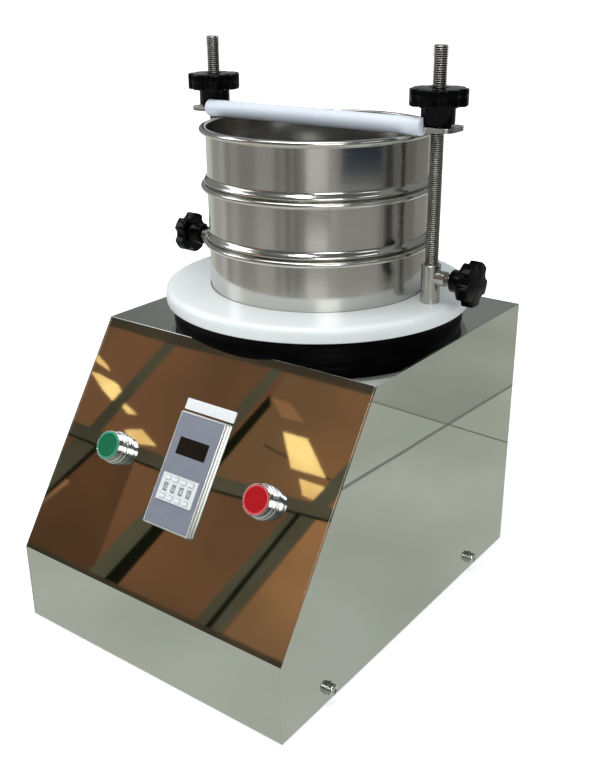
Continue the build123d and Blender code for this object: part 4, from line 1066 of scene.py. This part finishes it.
    def make_knob(self, side: Side, turn: float) -> None:
        """Lock knob: hub and handle on the lock stud, closed on its outer face.

        Args:
            side: which side's knob.
            turn: turn of its outline, in degrees.
        """
        node = f"{side.word}_lock_knob"
        low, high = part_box(node)
        stud = middle(f"{side.word}_lock_stud")
        start = low.x if side is Side.RIGHT else high.x
        place = Place(origin=(start, stud[1], stud[2]), x_axis=(0.0, -1.0, 0.0),
                      y_axis=(0.0, 0.0, -side.sign), z_axis=(side.sign, 0.0, 0.0))
        bore, depth = 5.0 * MM, 12.3 * MM
        plate, face = 12.2 * MM, 24.2 * MM
        hub = np.array([(0.0, depth), (bore, depth), (bore, 0.0), (9.2 * MM, 0.0), (9.7 * MM, 0.4 * MM),
                        (9.9 * MM, 1.1 * MM), (9.9 * MM, plate - 0.8 * MM), (10.6 * MM, plate)])
        rows = self.handle_rows(plate, face - 0.6 * MM, 1.3 * MM, 10.6 * MM, 0.0, 0.6 * MM)
        profile = np.concatenate([self.plain_rows(hub), rows[1:]])
        grid = replace(self.knob_star, turn=turn).grid(profile)
        piece = grid_piece(f"{side.word}_lock_handle", place.put(grid), smooth_degrees=self.smooth)
        self.fit(piece, "knob_black", node)


def local_points(piece: bpy.types.Object, place: Place) -> Array:
    """Points of a piece's mesh in a local frame, one row of x, y, z each."""
    flat = np.zeros(len(piece.data.vertices) * 3)
    piece.data.vertices.foreach_get("co", flat)
    axes = np.array([place.x_axis, place.y_axis, place.z_axis])
    return (flat.reshape(-1, 3) - np.array(place.origin)) @ axes.T


def store_values(piece: bpy.types.Object, name: str, values: Array) -> None:
    """Write one number for each point of a piece, as a named attribute."""
    attribute = piece.data.attributes.new(name, "FLOAT", "POINT")
    attribute.data.foreach_set("value", values.astype(np.float32))


def store_groove(piece: bpy.types.Object, place: Place, radius: float, depth: float) -> None:
    """Write how deep each point lies in the thread, as the attribute groove, which places the painted shade
    in the roots.
    """
    reach = np.linalg.norm(local_points(piece, place)[:, :2], axis=1)
    store_values(piece, "groove", np.clip((radius - reach) / depth, 0.0, 1.0) ** 1.5)


def cut_slot(piece: bpy.types.Object, top: Vector, width: float, depth: float) -> None:
    """Cut a straight slot along X into the top of a piece.

    Args:
        piece: the piece.
        top: middle of its top.
        width: width of the slot.
        depth: depth of the slot.
    """
    half = np.array([20 * MM, width / 2, depth])
    corners = np.array([(x, y, z) for x in (-1, 1) for y in (-1, 1) for z in (-1, 1)], float) * half
    faces = np.array([(0, 1, 3, 2), (4, 6, 7, 5), (0, 4, 5, 1), (2, 3, 7, 6), (0, 2, 6, 4),
                      (1, 5, 7, 3)])
    cutter = make_piece("slot_cutter", corners + np.array(top), faces)
    cut = piece.modifiers.new("slot", "BOOLEAN")
    cut.operation = "DIFFERENCE"
    cut.solver = "EXACT"
    cut.object = cutter
    bpy.context.view_layer.update()
    shaped = bpy.data.meshes.new_from_object(piece.evaluated_get(bpy.context.evaluated_depsgraph_get()))
    piece.modifiers.clear()
    piece.data = shaped
    bpy.data.objects.remove(cutter)


@dataclass
class ControlPanel(Assembly):
    """Push buttons and timer on the slope.

    Attributes:
        lip_height: height of the slope's lower edge above the floor.
        slope_run: depth of the slope.
        slope_rise: height of the slope.
        button_up: distance of the buttons up the slope.
        start_x: start button across.
        stop_x: stop button across.
        timer_x: timer across.
        timer_up: timer's centre up the slope.
        timer_size: width and height of the timer's frame.
        timer_corner: radius of its corners.
        block_round: radius of the window's and the wheel block's edges.
        tab_round: radius of the push tabs' edges.
        wheel_radius: radius over the corners of a digit wheel's ten flats.
        digits: number that each wheel shows.
        digit_size: size of the numbers.
        digit_lift: height of the ink over a flat.
    """

    lip_height: float = 76.5 * MM
    slope_run: float = 129.0 * MM
    slope_rise: float = 190.5 * MM
    button_up: float = 114.6 * MM
    start_x: float = -84.6 * MM
    stop_x: float = 85.9 * MM
    timer_x: float = 1.1 * MM
    timer_up: float = 114.6 * MM
    timer_size: tuple[float, float] = (52.0 * MM, 102.0 * MM)
    timer_corner: float = 1.6 * MM
    block_round: float = 0.15 * MM
    tab_round: float = 0.2 * MM
    wheel_radius: float = 7.4 * MM
    digits: tuple[int, int, int, int] = (0, 0, 3, 0)
    digit_size: float = 5.4 * MM
    digit_lift: float = 0.04 * MM

    def at(self, x: float, up: float) -> Place:
        """Frame on the slope's face: x across, y up the slope, z out of it."""
        length = math.hypot(self.slope_run, self.slope_rise)
        rise, run = self.slope_rise / length, self.slope_run / length
        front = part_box("wrap_panel")[0].y
        origin = (x, front + up * run, self.lip_height + up * rise)
        return Place(origin, (1.0, 0.0, 0.0), (0.0, run, rise), (0.0, -rise, run))

    def build(self) -> None:
        """Make the buttons and the timer."""
        self.make_button("start", self.start_x, "cap_green")
        self.make_button("stop", self.stop_x, "cap_red")
        self.make_bezel()
        for node in ("timer_window", "thumbwheel_frame"):
            round_edges(node, self.block_round, 2)
        for column in range(1, 5):
            self.make_digits(column)
            for word in ("minus", "plus"):
                round_edges(f"{word}_tab_{column}", self.tab_round, 2)

    def make_button(self, word: str, x: float, slot: str) -> None:
        """Plated head with turned grooves, and its coloured cap.

        Args:
            word: start or stop, as in the node names.
            x: place across the slope.
            slot: finish of the cap.
        """
        place = self.at(x, self.button_up)
        outline = np.array([
            (10.9, -34.0), (10.9, 0.0), (15.0, 0.0), (15.0, 2.9), (14.6, 3.5), (13.9, 3.6),
            (13.9, 3.9), (14.2, 4.1), (14.2, 6.7), (13.8, 7.1), (13.3, 7.3), (13.3, 13.1),
            (13.1, 13.5), (12.6, 13.5), (12.6, 1.5), (5.2, 1.5), (5.2, -34.0)]) * MM
        profile = soften(outline, 0.25 * MM, 3)
        grid = turned_grid(profile, 96, place)
        head = grid_piece(f"{word}_button_head", grid, wrap_rows=True, smooth_degrees=40.0)
        self.fit(head, "button_chrome", f"{word}_button_body")
        cap_outline = np.array([
            (0.0, -20.8), (5.0, -20.8), (5.0, 5.2), (12.4, 5.2), (12.4, 13.7), (11.9, 14.2),
            (11.2, 14.2), (10.8, 13.7), (4.0, 13.75), (0.0, 13.8)]) * MM
        cap_profile = soften(cap_outline, 0.3 * MM, 4, closed=False)
        cap = grid_piece(f"{word}_cap", turned_grid(cap_profile, 96, place), smooth_degrees=60.0)
        # Mask of the cap rim's painted highlight.
        store_rim(cap, place, 10.9 * MM, 12.5 * MM, 13.5 * MM)
        self.fit(cap, slot, f"{word}_button_cap")

    def make_bezel(self) -> None:
        """Timer frame: a profile with a round shoulder carried around a rounded rectangle."""
        place = self.at(self.timer_x, self.timer_up)
        outline = rounded_rectangle(*self.timer_size, self.timer_corner)
        profile = np.array([(-5.3, 0.0), (0.0, 0.0), (0.0, 3.2), (-0.35, 4.6), (-0.9, 5.3), (-1.4, 5.5),
                            (-1.7, 5.35), (-1.7, 4.3), (-5.3, 4.3)]) * MM
        grid = framed_grid(outline, soften(profile, 0.35 * MM, 3), place)
        piece = grid_piece("timer_frame", grid, wrap_rows=True, smooth_degrees=40.0)
        self.fit(piece, "timer_silver", "timer_bezel")

    def make_digits(self, column: int) -> None:
        """Plain numbers 0 to 9 on the ten flats of one wheel.

        Args:
            column: which wheel, from 1 on the left.
        """
        node = f"digit_wheel_{column}"
        centre = Vector(middle(node))
        place = self.at(0.0, 0.0)
        axes = Matrix((place.x_axis, place.y_axis, place.z_axis)).transposed()
        flat_radius = self.wheel_radius * math.cos(math.pi / 10) + self.digit_lift
        shapes = []
        for number in range(10):
            text = bpy.data.curves.new(f"number_{number}", "FONT")
            text.body = str(number)
            text.size = self.digit_size
            text.align_x = "CENTER"
            text.align_y = "CENTER"
            text.resolution_u = 3
            holder = bpy.data.objects.new(text.name, text)
            bpy.context.scene.collection.objects.link(holder)
            mesh = bpy.data.meshes.new_from_object(holder)
            turn = Matrix.Rotation(-TAU / 10 * (number - self.digits[column - 1]), 3, "X")
            out = Matrix.Translation((0.0, 0.0, flat_radius))
            mesh.transform(Matrix.Translation(centre) @ (axes @ turn).to_4x4() @ out)
            bpy.data.objects.remove(holder)
            shapes.append(mesh)
        work = bmesh.new()
        for mesh in shapes:
            work.from_mesh(mesh)
        joined = bpy.data.meshes.new(f"wheel_numbers_{column}")
        work.to_mesh(joined)
        work.free()
        piece = bpy.data.objects.new(joined.name, joined)
        bpy.context.scene.collection.objects.link(piece)
        self.add_detail(piece, "digit_ink", f"digit_{column}", record_slot="wheel_white")


def store_rim(piece: bpy.types.Object, place: Place, low: float, high: float, height: float) -> None:
    """Write 1 on the points of a cap's rim and 0 elsewhere, as the attribute rim that places the painted
    highlight.

    Args:
        piece: the cap.
        place: local frame with the cap's axis along z.
        low: inner radius of the rim.
        high: outer radius of the rim.
        height: height from which a point counts as rim.
    """
    local = local_points(piece, place)
    reach = np.linalg.norm(local[:, :2], axis=1)
    store_values(piece, "rim", (reach > low) & (reach < high) & (local[:, 2] > height))


@dataclass
class Studio:
    """Floor, lamps, reflecting cards and the camera.

    Attributes:
        eye: camera's place.
        turn: camera's turn about Z, in degrees, 0 looking along +Y.
        pitch: how far it looks down, in degrees.
        roll: roll of the picture, in degrees.
        lens: focal length in millimetres on a 36 mm sensor.
        card_step: height between one floor sector and the next.
        floor_half: half the floor's side.
        panel: the control panel, which knows the slope.
    """

    eye: tuple[float, float, float] = (0.5311, -0.6846, 0.5680)
    turn: float = 36.76
    pitch: float = 22.73
    roll: float = 0.46
    lens: float = 45.98
    card_step: float = 0.02 * MM
    floor_half: float = 6.0
    panel: Optional[ControlPanel] = None

    def build(self) -> None:
        """Set up the camera, the light and the surroundings."""
        self.make_camera()
        self.make_world()
        self.make_floor()
        self.make_lamps()
        self.make_surroundings()
        self.make_warm_card()
        bpy.context.scene.view_settings.view_transform = "Standard"

    def make_camera(self) -> None:
        """Camera at the photograph's viewing angle."""
        a, p, r = (math.radians(v) for v in (self.turn, self.pitch, self.roll))
        ahead = Vector((-math.sin(a) * math.cos(p), math.cos(a) * math.cos(p), -math.sin(p)))
        level = Vector((math.cos(a), math.sin(a), 0.0))
        down = ahead.cross(level)
        right = math.cos(r) * level + math.sin(r) * down
        below = -math.sin(r) * level + math.cos(r) * down
        data = bpy.data.cameras.new("camera")
        data.lens = self.lens
        data.sensor_width = 36.0
        data.clip_start = 0.01
        camera = bpy.data.objects.new("camera", data)
        bpy.context.scene.collection.objects.link(camera)
        basis = Matrix((right, -below, -ahead)).transposed().to_4x4()
        camera.matrix_world = Matrix.Translation(self.eye) @ basis
        bpy.context.scene.camera = camera

    def make_world(self) -> None:
        """Soft daylight; white where the camera looks past the floor, a dark ceiling in the mirrors."""
        world = bpy.data.worlds.new("studio")
        world.use_nodes = True
        bpy.context.scene.world = world
        tree = world.node_tree
        tree.nodes.clear()
        path = tree.nodes.new("ShaderNodeLightPath")
        seen = tree.nodes.new("ShaderNodeMath")
        seen.operation = "MAXIMUM"
        tree.links.new(path.outputs["Is Camera Ray"], seen.inputs[0])
        tree.links.new(path.outputs["Is Transmission Ray"], seen.inputs[1])
        soft = tree.nodes.new("ShaderNodeBackground")
        soft.inputs["Color"].default_value = (0.86, 0.92, 1.0, 1.0)
        soft.inputs["Strength"].default_value = 0.50
        white = tree.nodes.new("ShaderNodeBackground")
        white.inputs["Color"].default_value = (1.0, 1.0, 1.0, 1.0)
        mirror = tree.nodes.new("ShaderNodeBackground")
        mirror.inputs["Color"].default_value = (0.95, 1.0, 0.97, 1.0)
        mirror.inputs["Strength"].default_value = 0.13
        first = tree.nodes.new("ShaderNodeMixShader")
        second = tree.nodes.new("ShaderNodeMixShader")
        tree.links.new(path.outputs["Is Glossy Ray"], first.inputs[0])
        tree.links.new(soft.outputs[0], first.inputs[1])
        tree.links.new(mirror.outputs[0], first.inputs[2])
        tree.links.new(seen.outputs[0], second.inputs[0])
        tree.links.new(first.outputs[0], second.inputs[1])
        tree.links.new(white.outputs[0], second.inputs[2])
        out = tree.nodes.new("ShaderNodeOutputWorld")
        tree.links.new(second.outputs[0], out.inputs["Surface"])

    def make_floor(self) -> None:
        """Plain pale floor that keeps the machine's shadow."""
        points = np.array([(-1, -1, 0), (1, -1, 0), (1, 1, 0), (-1, 1, 0)], float) * self.floor_half
        floor = make_piece("floor", points, np.array([(0, 1, 2, 3)]))
        bench = NodeBench("floor_paper")
        path = bench.add("LightPath")
        seen = bench.math("MAXIMUM", path.outputs["Is Camera Ray"], path.outputs["Is Transmission Ray"])
        paper = bench.shader
        paper.inputs["Base Color"].default_value = (0.80, 0.80, 0.79, 1.0)
        paper.inputs["Roughness"].default_value = 0.9
        paper.inputs["Specular IOR Level"].default_value = 0.1
        reach = bench.add("VectorMath", {"operation": "LENGTH"}, in_0=bench.point()).outputs["Value"]
        strength = bench.spread(reach, 0.5, 1.0, 0.5, 1.3)
        glow = bench.add("Emission", Color=(1.0, 1.0, 1.0, 1.0), Strength=strength)
        both = bench.add("AddShader")
        bench.tree.links.new(paper.outputs[0], both.inputs[0])
        bench.tree.links.new(glow.outputs[0], both.inputs[1])
        mixed = bench.add("MixShader", in_0=seen)
        bench.tree.links.new(paper.outputs[0], mixed.inputs[1])
        bench.tree.links.new(both.outputs[0], mixed.inputs[2])
        bench.tree.links.new(mixed.outputs[0], bench.tree.nodes["Material Output"].inputs["Surface"])
        floor.data.materials.append(bench.material)

    def make_lamp(self, name: str, place: tuple[float, float, float], aim: tuple[float, float, float],
                  size: float, power: float, color: Color = (1.0, 1.0, 1.0)) -> None:
        """Square soft lamp that looks at a point.

        Args:
            name: name of the lamp.
            place: where it hangs.
            aim: point that it looks at.
            size: its side.
            power: its power in watts.
            color: its colour.
        """
        data = bpy.data.lights.new(name, "AREA")
        data.shape = "SQUARE"
        data.size = size
        data.energy = power
        data.color = color
        lamp = bpy.data.objects.new(name, data)
        bpy.context.scene.collection.objects.link(lamp)
        direction = Vector(aim) - Vector(place)
        turn = direction.to_track_quat("-Z", "Y").to_matrix().to_4x4()
        lamp.matrix_world = Matrix.Translation(place) @ turn

    def make_lamps(self) -> None:
        """Broad lamp above, a fill from the left and a low one from the front right."""
        aim = (0.0, 0.0, 0.3)
        self.make_lamp("overhead", (-0.1, -0.25, 1.9), aim, 1.2, 17.0)
        self.make_lamp("left_fill", (-1.5, -0.9, 1.2), aim, 0.9, 9.0, (0.92, 0.96, 1.0))
        self.make_lamp("right_front", (1.3, -1.2, 1.1), aim, 0.8, 12.0)

    @staticmethod
    def card(name: str, points: Array, faces: Array, material: bpy.types.Material) -> None:
        """Card that only mirror surfaces see.

        Args:
            name: name of the card.
            points: its points.
            faces: its faces.
            material: its glow.
        """
        obj = make_piece(name, points, faces)
        obj.data.materials.append(material)
        obj.visible_camera = False
        obj.visible_diffuse = False
        obj.visible_shadow = False
        obj.visible_volume_scatter = False

    @staticmethod
    def glow(name: str, color: Color, strength: float = 1.0, mottle: Optional[Color] = None,
             scale: float = 3.0) -> bpy.types.Material:
        """Plain or softly mottled glow for a card.

        Args:
            name: name of the material.
            color: its colour.
            strength: its strength, where 1 shows the colour as it is.
            mottle: second colour of the mottling, or none.
            scale: scale of the mottling, larger is finer.

        Returns:
            The material.
        """
        bench = NodeBench(name)
        shade: object = (*color, 1.0)
        if mottle is not None:
            cloud = bench.noise(bench.point(), scale, 2.0)
            shade = bench.mix(bench.spread(cloud, 0.0, 1.0, 0.38, 0.62), color, mottle)
        light = bench.add("Emission", Color=shade, Strength=strength)
        bench.tree.links.new(light.outputs[0], bench.tree.nodes["Material Output"].inputs["Surface"])
        return bench.material

    def make_surroundings(self) -> None:
        """Cards on the floor, behind and above, which the steel mirrors."""
        self.lay_tiles()
        self.lay_sectors()
        self.hang_backdrop()
        self.hang_windows()

    def lay_tiles(self) -> None:
        """Pale floor cards with two thin lines between them."""
        tile = self.glow("floor_tile", (0.57, 0.61, 0.53), 1.0, (0.69, 0.72, 0.65), 3.5)
        next_tile = self.glow("next_tile", (0.44, 0.47, 0.41), 1.0, (0.54, 0.57, 0.50), 3.5)
        joint = self.glow("tile_joint", (0.26, 0.27, 0.24))
        front_tile = self.glow("front_tile", (0.64, 0.68, 0.60), 1.0, (0.73, 0.76, 0.69), 4.0)
        cards = [
            ("floor_tile", 1.0, tile, [(-5.0, -5.0), (5.0, -5.0), (5.0, 5.0), (-5.0, 5.0)]),
            ("front_tile", 1.1, front_tile, [(-0.5, -0.6), (0.149, -0.6), (0.149, -0.2), (-0.5, -0.2)]),
            ("next_tile", 1.1, next_tile, [(0.339, 0.41), (0.85, 0.43), (0.85, 1.3), (0.295, 1.3)]),
            ("joint_along", 1.3, joint, [(0.364, -0.10), (0.369, -0.10), (0.311, 0.90), (0.306, 0.90)]),
            ("joint_across", 1.3, joint, [(0.15, 0.399), (0.15, 0.403), (0.60, 0.426), (0.60, 0.421)]),
        ]
        for name, height, material, outline in cards:
            self.floor_card(name, outline, height * MM, material)

    def lay_sectors(self) -> None:
        """Light and dark sectors of the floor around the sieves, each a hair above the last."""
        centre = np.array(middle("table_disc")[:2])
        for number, (start, end, inner, outer, color) in enumerate(self.sectors()):
            angle = np.radians(np.linspace(start, end, 8))
            unit = np.stack([np.cos(angle), np.sin(angle)], axis=1)
            points = np.concatenate([centre + inner * unit, (centre + outer * unit)[::-1]])
            height = 2 * MM + number * self.card_step
            self.floor_card(f"sector_{number}", points, height, self.glow(f"sector_{number}", color))

    def hang_backdrop(self) -> None:
        """Dark upright card behind the machine: an arc of 1.3 m from 0.5 to 2.2 m high."""
        steps, radius, heights = 24, 1.3, np.array([0.5, 2.2])
        angle = np.radians(np.linspace(20, 200, steps))
        centre = np.array(middle("table_disc")[:2])
        wall = centre + radius * np.stack([np.cos(angle), np.sin(angle)], axis=1)
        upright = np.broadcast_to(heights[:, None, None], (2, steps, 1))
        grid = np.concatenate([np.repeat(wall[None], 2, 0), upright], axis=-1)
        self.card("dark_backdrop", grid.reshape(-1, 3), grid_faces(2, steps, False, False),
                  self.glow("dark_backdrop", (0.22, 0.23, 0.225), 1.0, (0.30, 0.31, 0.305), 2.0))

    def hang_windows(self) -> None:
        """Three small bright panes: middle, half width and half depth, strength."""
        panes = [("front_window", (0.25, -0.85, 1.7), (0.10, 0.08), 40.0),
                 ("left_window", (-1.15, 0.05, 1.45), (0.12, 0.5), 2.2),
                 ("right_window", (1.5, 0.1, 1.5), (0.10, 0.30), 5.0)]
        signs = np.array([(-1, -1, 0), (1, -1, 0), (1, 1, 0), (-1, 1, 0)], float)
        for name, centre, half, strength in panes:
            corners = np.array(centre) + signs * np.array([*half, 0.0])
            glow = self.glow(name, (0.95, 0.98, 1.0), strength)
            self.card(name, corners, np.array([(0, 1, 2, 3)]), glow)

    def floor_card(self, name: str, outline: Sequence, height: float, material: bpy.types.Material) -> None:
        """Flat card just above the floor, from its outline of x and y."""
        flat = np.array(outline, float)
        points = np.concatenate([flat, np.full((len(flat), 1), height)], axis=1)
        self.card(name, points, np.array([range(len(flat))]), material)

    @staticmethod
    def sectors() -> list[tuple[float, float, float, float, Color]]:
        """Floor sectors that the sieve walls mirror as upright streaks.

        Returns:
            Start and end angle in degrees, inner and outer radius in metres, colour.
        """
        levels = [
            (-190, -171, 0.48), (-171, -161, 0.62), (-161, -152, 0.34), (-152, -140, 0.46),
            (-140, -118, 0.33), (-118, -97, 0.46), (-97, -92, 0.20), (-92, -86, 0.38),
            (-86, -82, 0.10), (-82, -77, 0.34), (-77, -74, 0.10), (-74, -66, 0.30),
            (-66, -45, 0.95), (-45, -36, 0.45), (-36, 8, 0.36), (8, 15, 0.25), (15, 25, 0.02),
            (25, 31, 0.25), (31, 35, 0.09), (35, 60, 0.20), (60, 100, 0.30)]
        rings = [(1.06, 2.0, 1.0), (2.0, 4.5, 0.78)]
        tone = np.array([1.0, 0.99, 0.94])
        whole = [(start, end, inner, outer, tuple(level * share * tone))
                 for start, end, level in levels for inner, outer, share in rings]
        smudge = (0.20, 0.20, 0.19)
        return whole + [(-72, -42, 1.20, 1.36, smudge), (-72, -42, 1.62, 1.95, smudge),
                        (-32, 12, 2.2, 4.4, (0.012, 0.022, 0.042))]

    def seen_in_slope(self, spots: Array, distance: float) -> Array:
        """Where a card must lie for the camera to see it in the slope at given spots.

        The camera is mirrored in the slope's plane: C' = C - 2 ((C - P) . n) n. The ray from
        C' through a spot on the slope meets the card's plane, which faces the slope's middle.

        Args:
            spots: rows of x across and distance up the slope, in metres.
            distance: distance of the card's plane from the slope's middle.

        Returns:
            Points on the card, one row each.
        """
        base = self.panel.at(0.0, 0.0)
        normal, start = np.array(base.z_axis), np.array(base.origin)
        eye = np.array(self.eye)
        mirrored = eye - 2.0 * np.dot(eye - start, normal) * normal
        centre = np.array(self.panel.at(0.0, self.panel.timer_up).origin)
        facing = (centre - mirrored) / np.linalg.norm(centre - mirrored)
        on_slope = base.put(np.concatenate([spots, np.zeros((len(spots), 1))], axis=1))
        rays = on_slope - mirrored
        plane = centre + facing * distance
        reach = ((plane - mirrored) @ facing) / (rays @ facing)
        return mirrored + rays * reach[:, None]

    def make_warm_card(self) -> None:
        """Warm card with dark bars and bright patches, which the polished slope mirrors.

        Each row holds a name, a glow, the distance from the slope in metres and the corners in
        millimetres on the slope, as the camera sees them there.
        """
        warm = self.glow("warm_panel", (0.17, 0.088, 0.045), 1.0, (0.30, 0.137, 0.064), 2.2)
        deep = self.glow("deep_panel", (0.12, 0.06, 0.03), 1.0, (0.21, 0.094, 0.042), 2.6)
        lit = self.glow("lit_panel", (0.27, 0.145, 0.07), 1.0, (0.42, 0.195, 0.085), 2.4)
        glowing = self.glow("glowing_panel", (0.36, 0.185, 0.088), 1.0, (0.66, 0.31, 0.125), 3.0)
        beam = self.glow("beam", (0.088, 0.078, 0.048), 1.0, (0.15, 0.135, 0.088), 3.5)
        shade = self.glow("beam_shade", (0.010, 0.012, 0.006))
        edge = self.glow("slope_edge", (0.075, 0.058, 0.04), 1.0, (0.11, 0.08, 0.05), 8.0)
        bright = self.glow("sunlit_patch", (2.1, 1.45, 0.55), 1.0, (1.45, 0.82, 0.3), 6.0)
        faint = self.glow("faint_patch", (0.62, 0.30, 0.13), 1.0, (0.40, 0.19, 0.085), 4.0)
        parts = [
            ("warm_sheet", warm, 1.30, [(-180, -5), (180, -5), (180, 240), (-180, 240)]),
            ("panel_deep", deep, 1.29, [(-175, 118), (-60, 114), (-62, -5), (-175, -5)]),
            ("panel_left", faint, 1.288, [(-126, 70), (-160, 30), (-175, 50), (-152, 78)]),
            ("panel_lit", lit, 1.29, [(66, 222), (170, 222), (170, 120), (22, 112)]),
            ("panel_low_right", glowing, 1.29, [(138, 118), (175, 116), (175, -5), (86, -5)]),
            ("beam_a_top", beam, 1.27, [(-71, 225), (-57, 225), (-114, 119), (-131, 117)]),
            ("beam_a_low", beam, 1.27, [(-131, 120), (-107, 116), (-165, 33), (-175, 54)]),
            ("beam_a_shade", shade, 1.265, [(-107, 116), (-101, 115), (-160, 32), (-165, 33)]),
            ("beam_b", beam, 1.27, [(50, 225), (61, 225), (-47, -6), (-72, -6)]),
            ("beam_b_shade", shade, 1.265, [(55, 200), (60, 192), (-35, -6), (-52, -6)]),
            ("beam_c", beam, 1.27, [(115, 122), (139, 122), (83, -6), (54, -6)]),
            ("beam_c_shade", shade, 1.265, [(119, 118), (123, 117), (72, -6), (66, -6)]),
            ("beam_c_top", beam, 1.27, [(126, 125), (140, 121), (176, 200), (172, 212)]),
            ("beam_cross", beam, 1.262,
             [(-175, 113), (18, 109), (175, 121), (175, 130), (18, 121), (-175, 125)]),
            ("cross_shade", shade, 1.260,
             [(-175, 111), (18, 107), (175, 119), (175, 121), (18, 109), (-175, 113)]),
            ("seam", edge, 1.28, [(66, 158), (150, 146), (150, 148), (66, 160)]),
            ("top_edge", edge, 1.255,
             [(-175, 221), (-56, 219), (47, 222), (175, 222), (175, 240), (-175, 240)]),
            ("low_edge", edge, 1.255, [(-175, 4), (175, 5), (175, -8), (-175, -8)]),
            ("patch_1", bright, 1.275, [(-152, 192), (-148, 184), (-126, 179), (-133, 184)]),
            ("patch_2", bright, 1.275,
             [(-150, 174), (-139, 174), (-112, 170), (-98, 161), (-112, 154), (-128, 161)]),
            ("patch_3", bright, 1.275, [(-102, 154), (-94, 155), (-76, 149), (-87, 147)]),
            ("patch_4", bright, 1.275, [(-85, 132), (-65, 138), (-42, 128), (-66, 124)]),
            ("patch_5", bright, 1.275, [(80, 174), (105, 174), (133, 149), (99, 148)]),
            ("patch_6", bright, 1.275, [(110, 142), (137, 142), (135, 130), (118, 130)]),
            ("patch_7", faint, 1.275, [(58, 198), (78, 198), (97, 186), (74, 185)]),
        ]
        for name, material, distance, corners in parts:
            spots = np.array(corners, float) * MM
            points = self.seen_in_slope(spots, distance)
            self.card(name, points, np.array([range(len(spots))]), material)


def dress_construction(workshop: Workshop) -> None:
    """Give every construction node the finish of its own slot."""
    for subpart in FRAME["record"]["subparts"]:
        workshop.dress(FRAME["nodes"][subpart["node"]], subpart["material_slot"])


def main() -> None:
    """Build the machine's looks around the frame, from the bottom up."""
    logging.basicConfig(level=logging.INFO, format="%(message)s")
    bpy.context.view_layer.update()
    workshop = Workshop(middle("table_disc"))
    dress_construction(workshop)
    panel = ControlPanel(workshop)
    for assembly in (Housing(workshop), Table(workshop), SieveStack(workshop), Clamp(workshop), panel):
        assembly.build()
        LOG.info("%s done", type(assembly).__name__)
    Studio(panel=panel).build()


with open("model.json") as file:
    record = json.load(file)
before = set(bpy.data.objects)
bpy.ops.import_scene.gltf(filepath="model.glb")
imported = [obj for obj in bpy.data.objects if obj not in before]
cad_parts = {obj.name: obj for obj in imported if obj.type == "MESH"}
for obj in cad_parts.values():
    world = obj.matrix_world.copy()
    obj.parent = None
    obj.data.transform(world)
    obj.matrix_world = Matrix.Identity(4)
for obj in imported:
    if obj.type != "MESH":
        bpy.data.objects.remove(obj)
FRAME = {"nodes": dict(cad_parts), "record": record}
BODY_OF = {node: body for body, nodes in FRAME["record"]["behaviour"]["bodies"].items() for node in nodes}

if __name__ == "__main__":
    main()
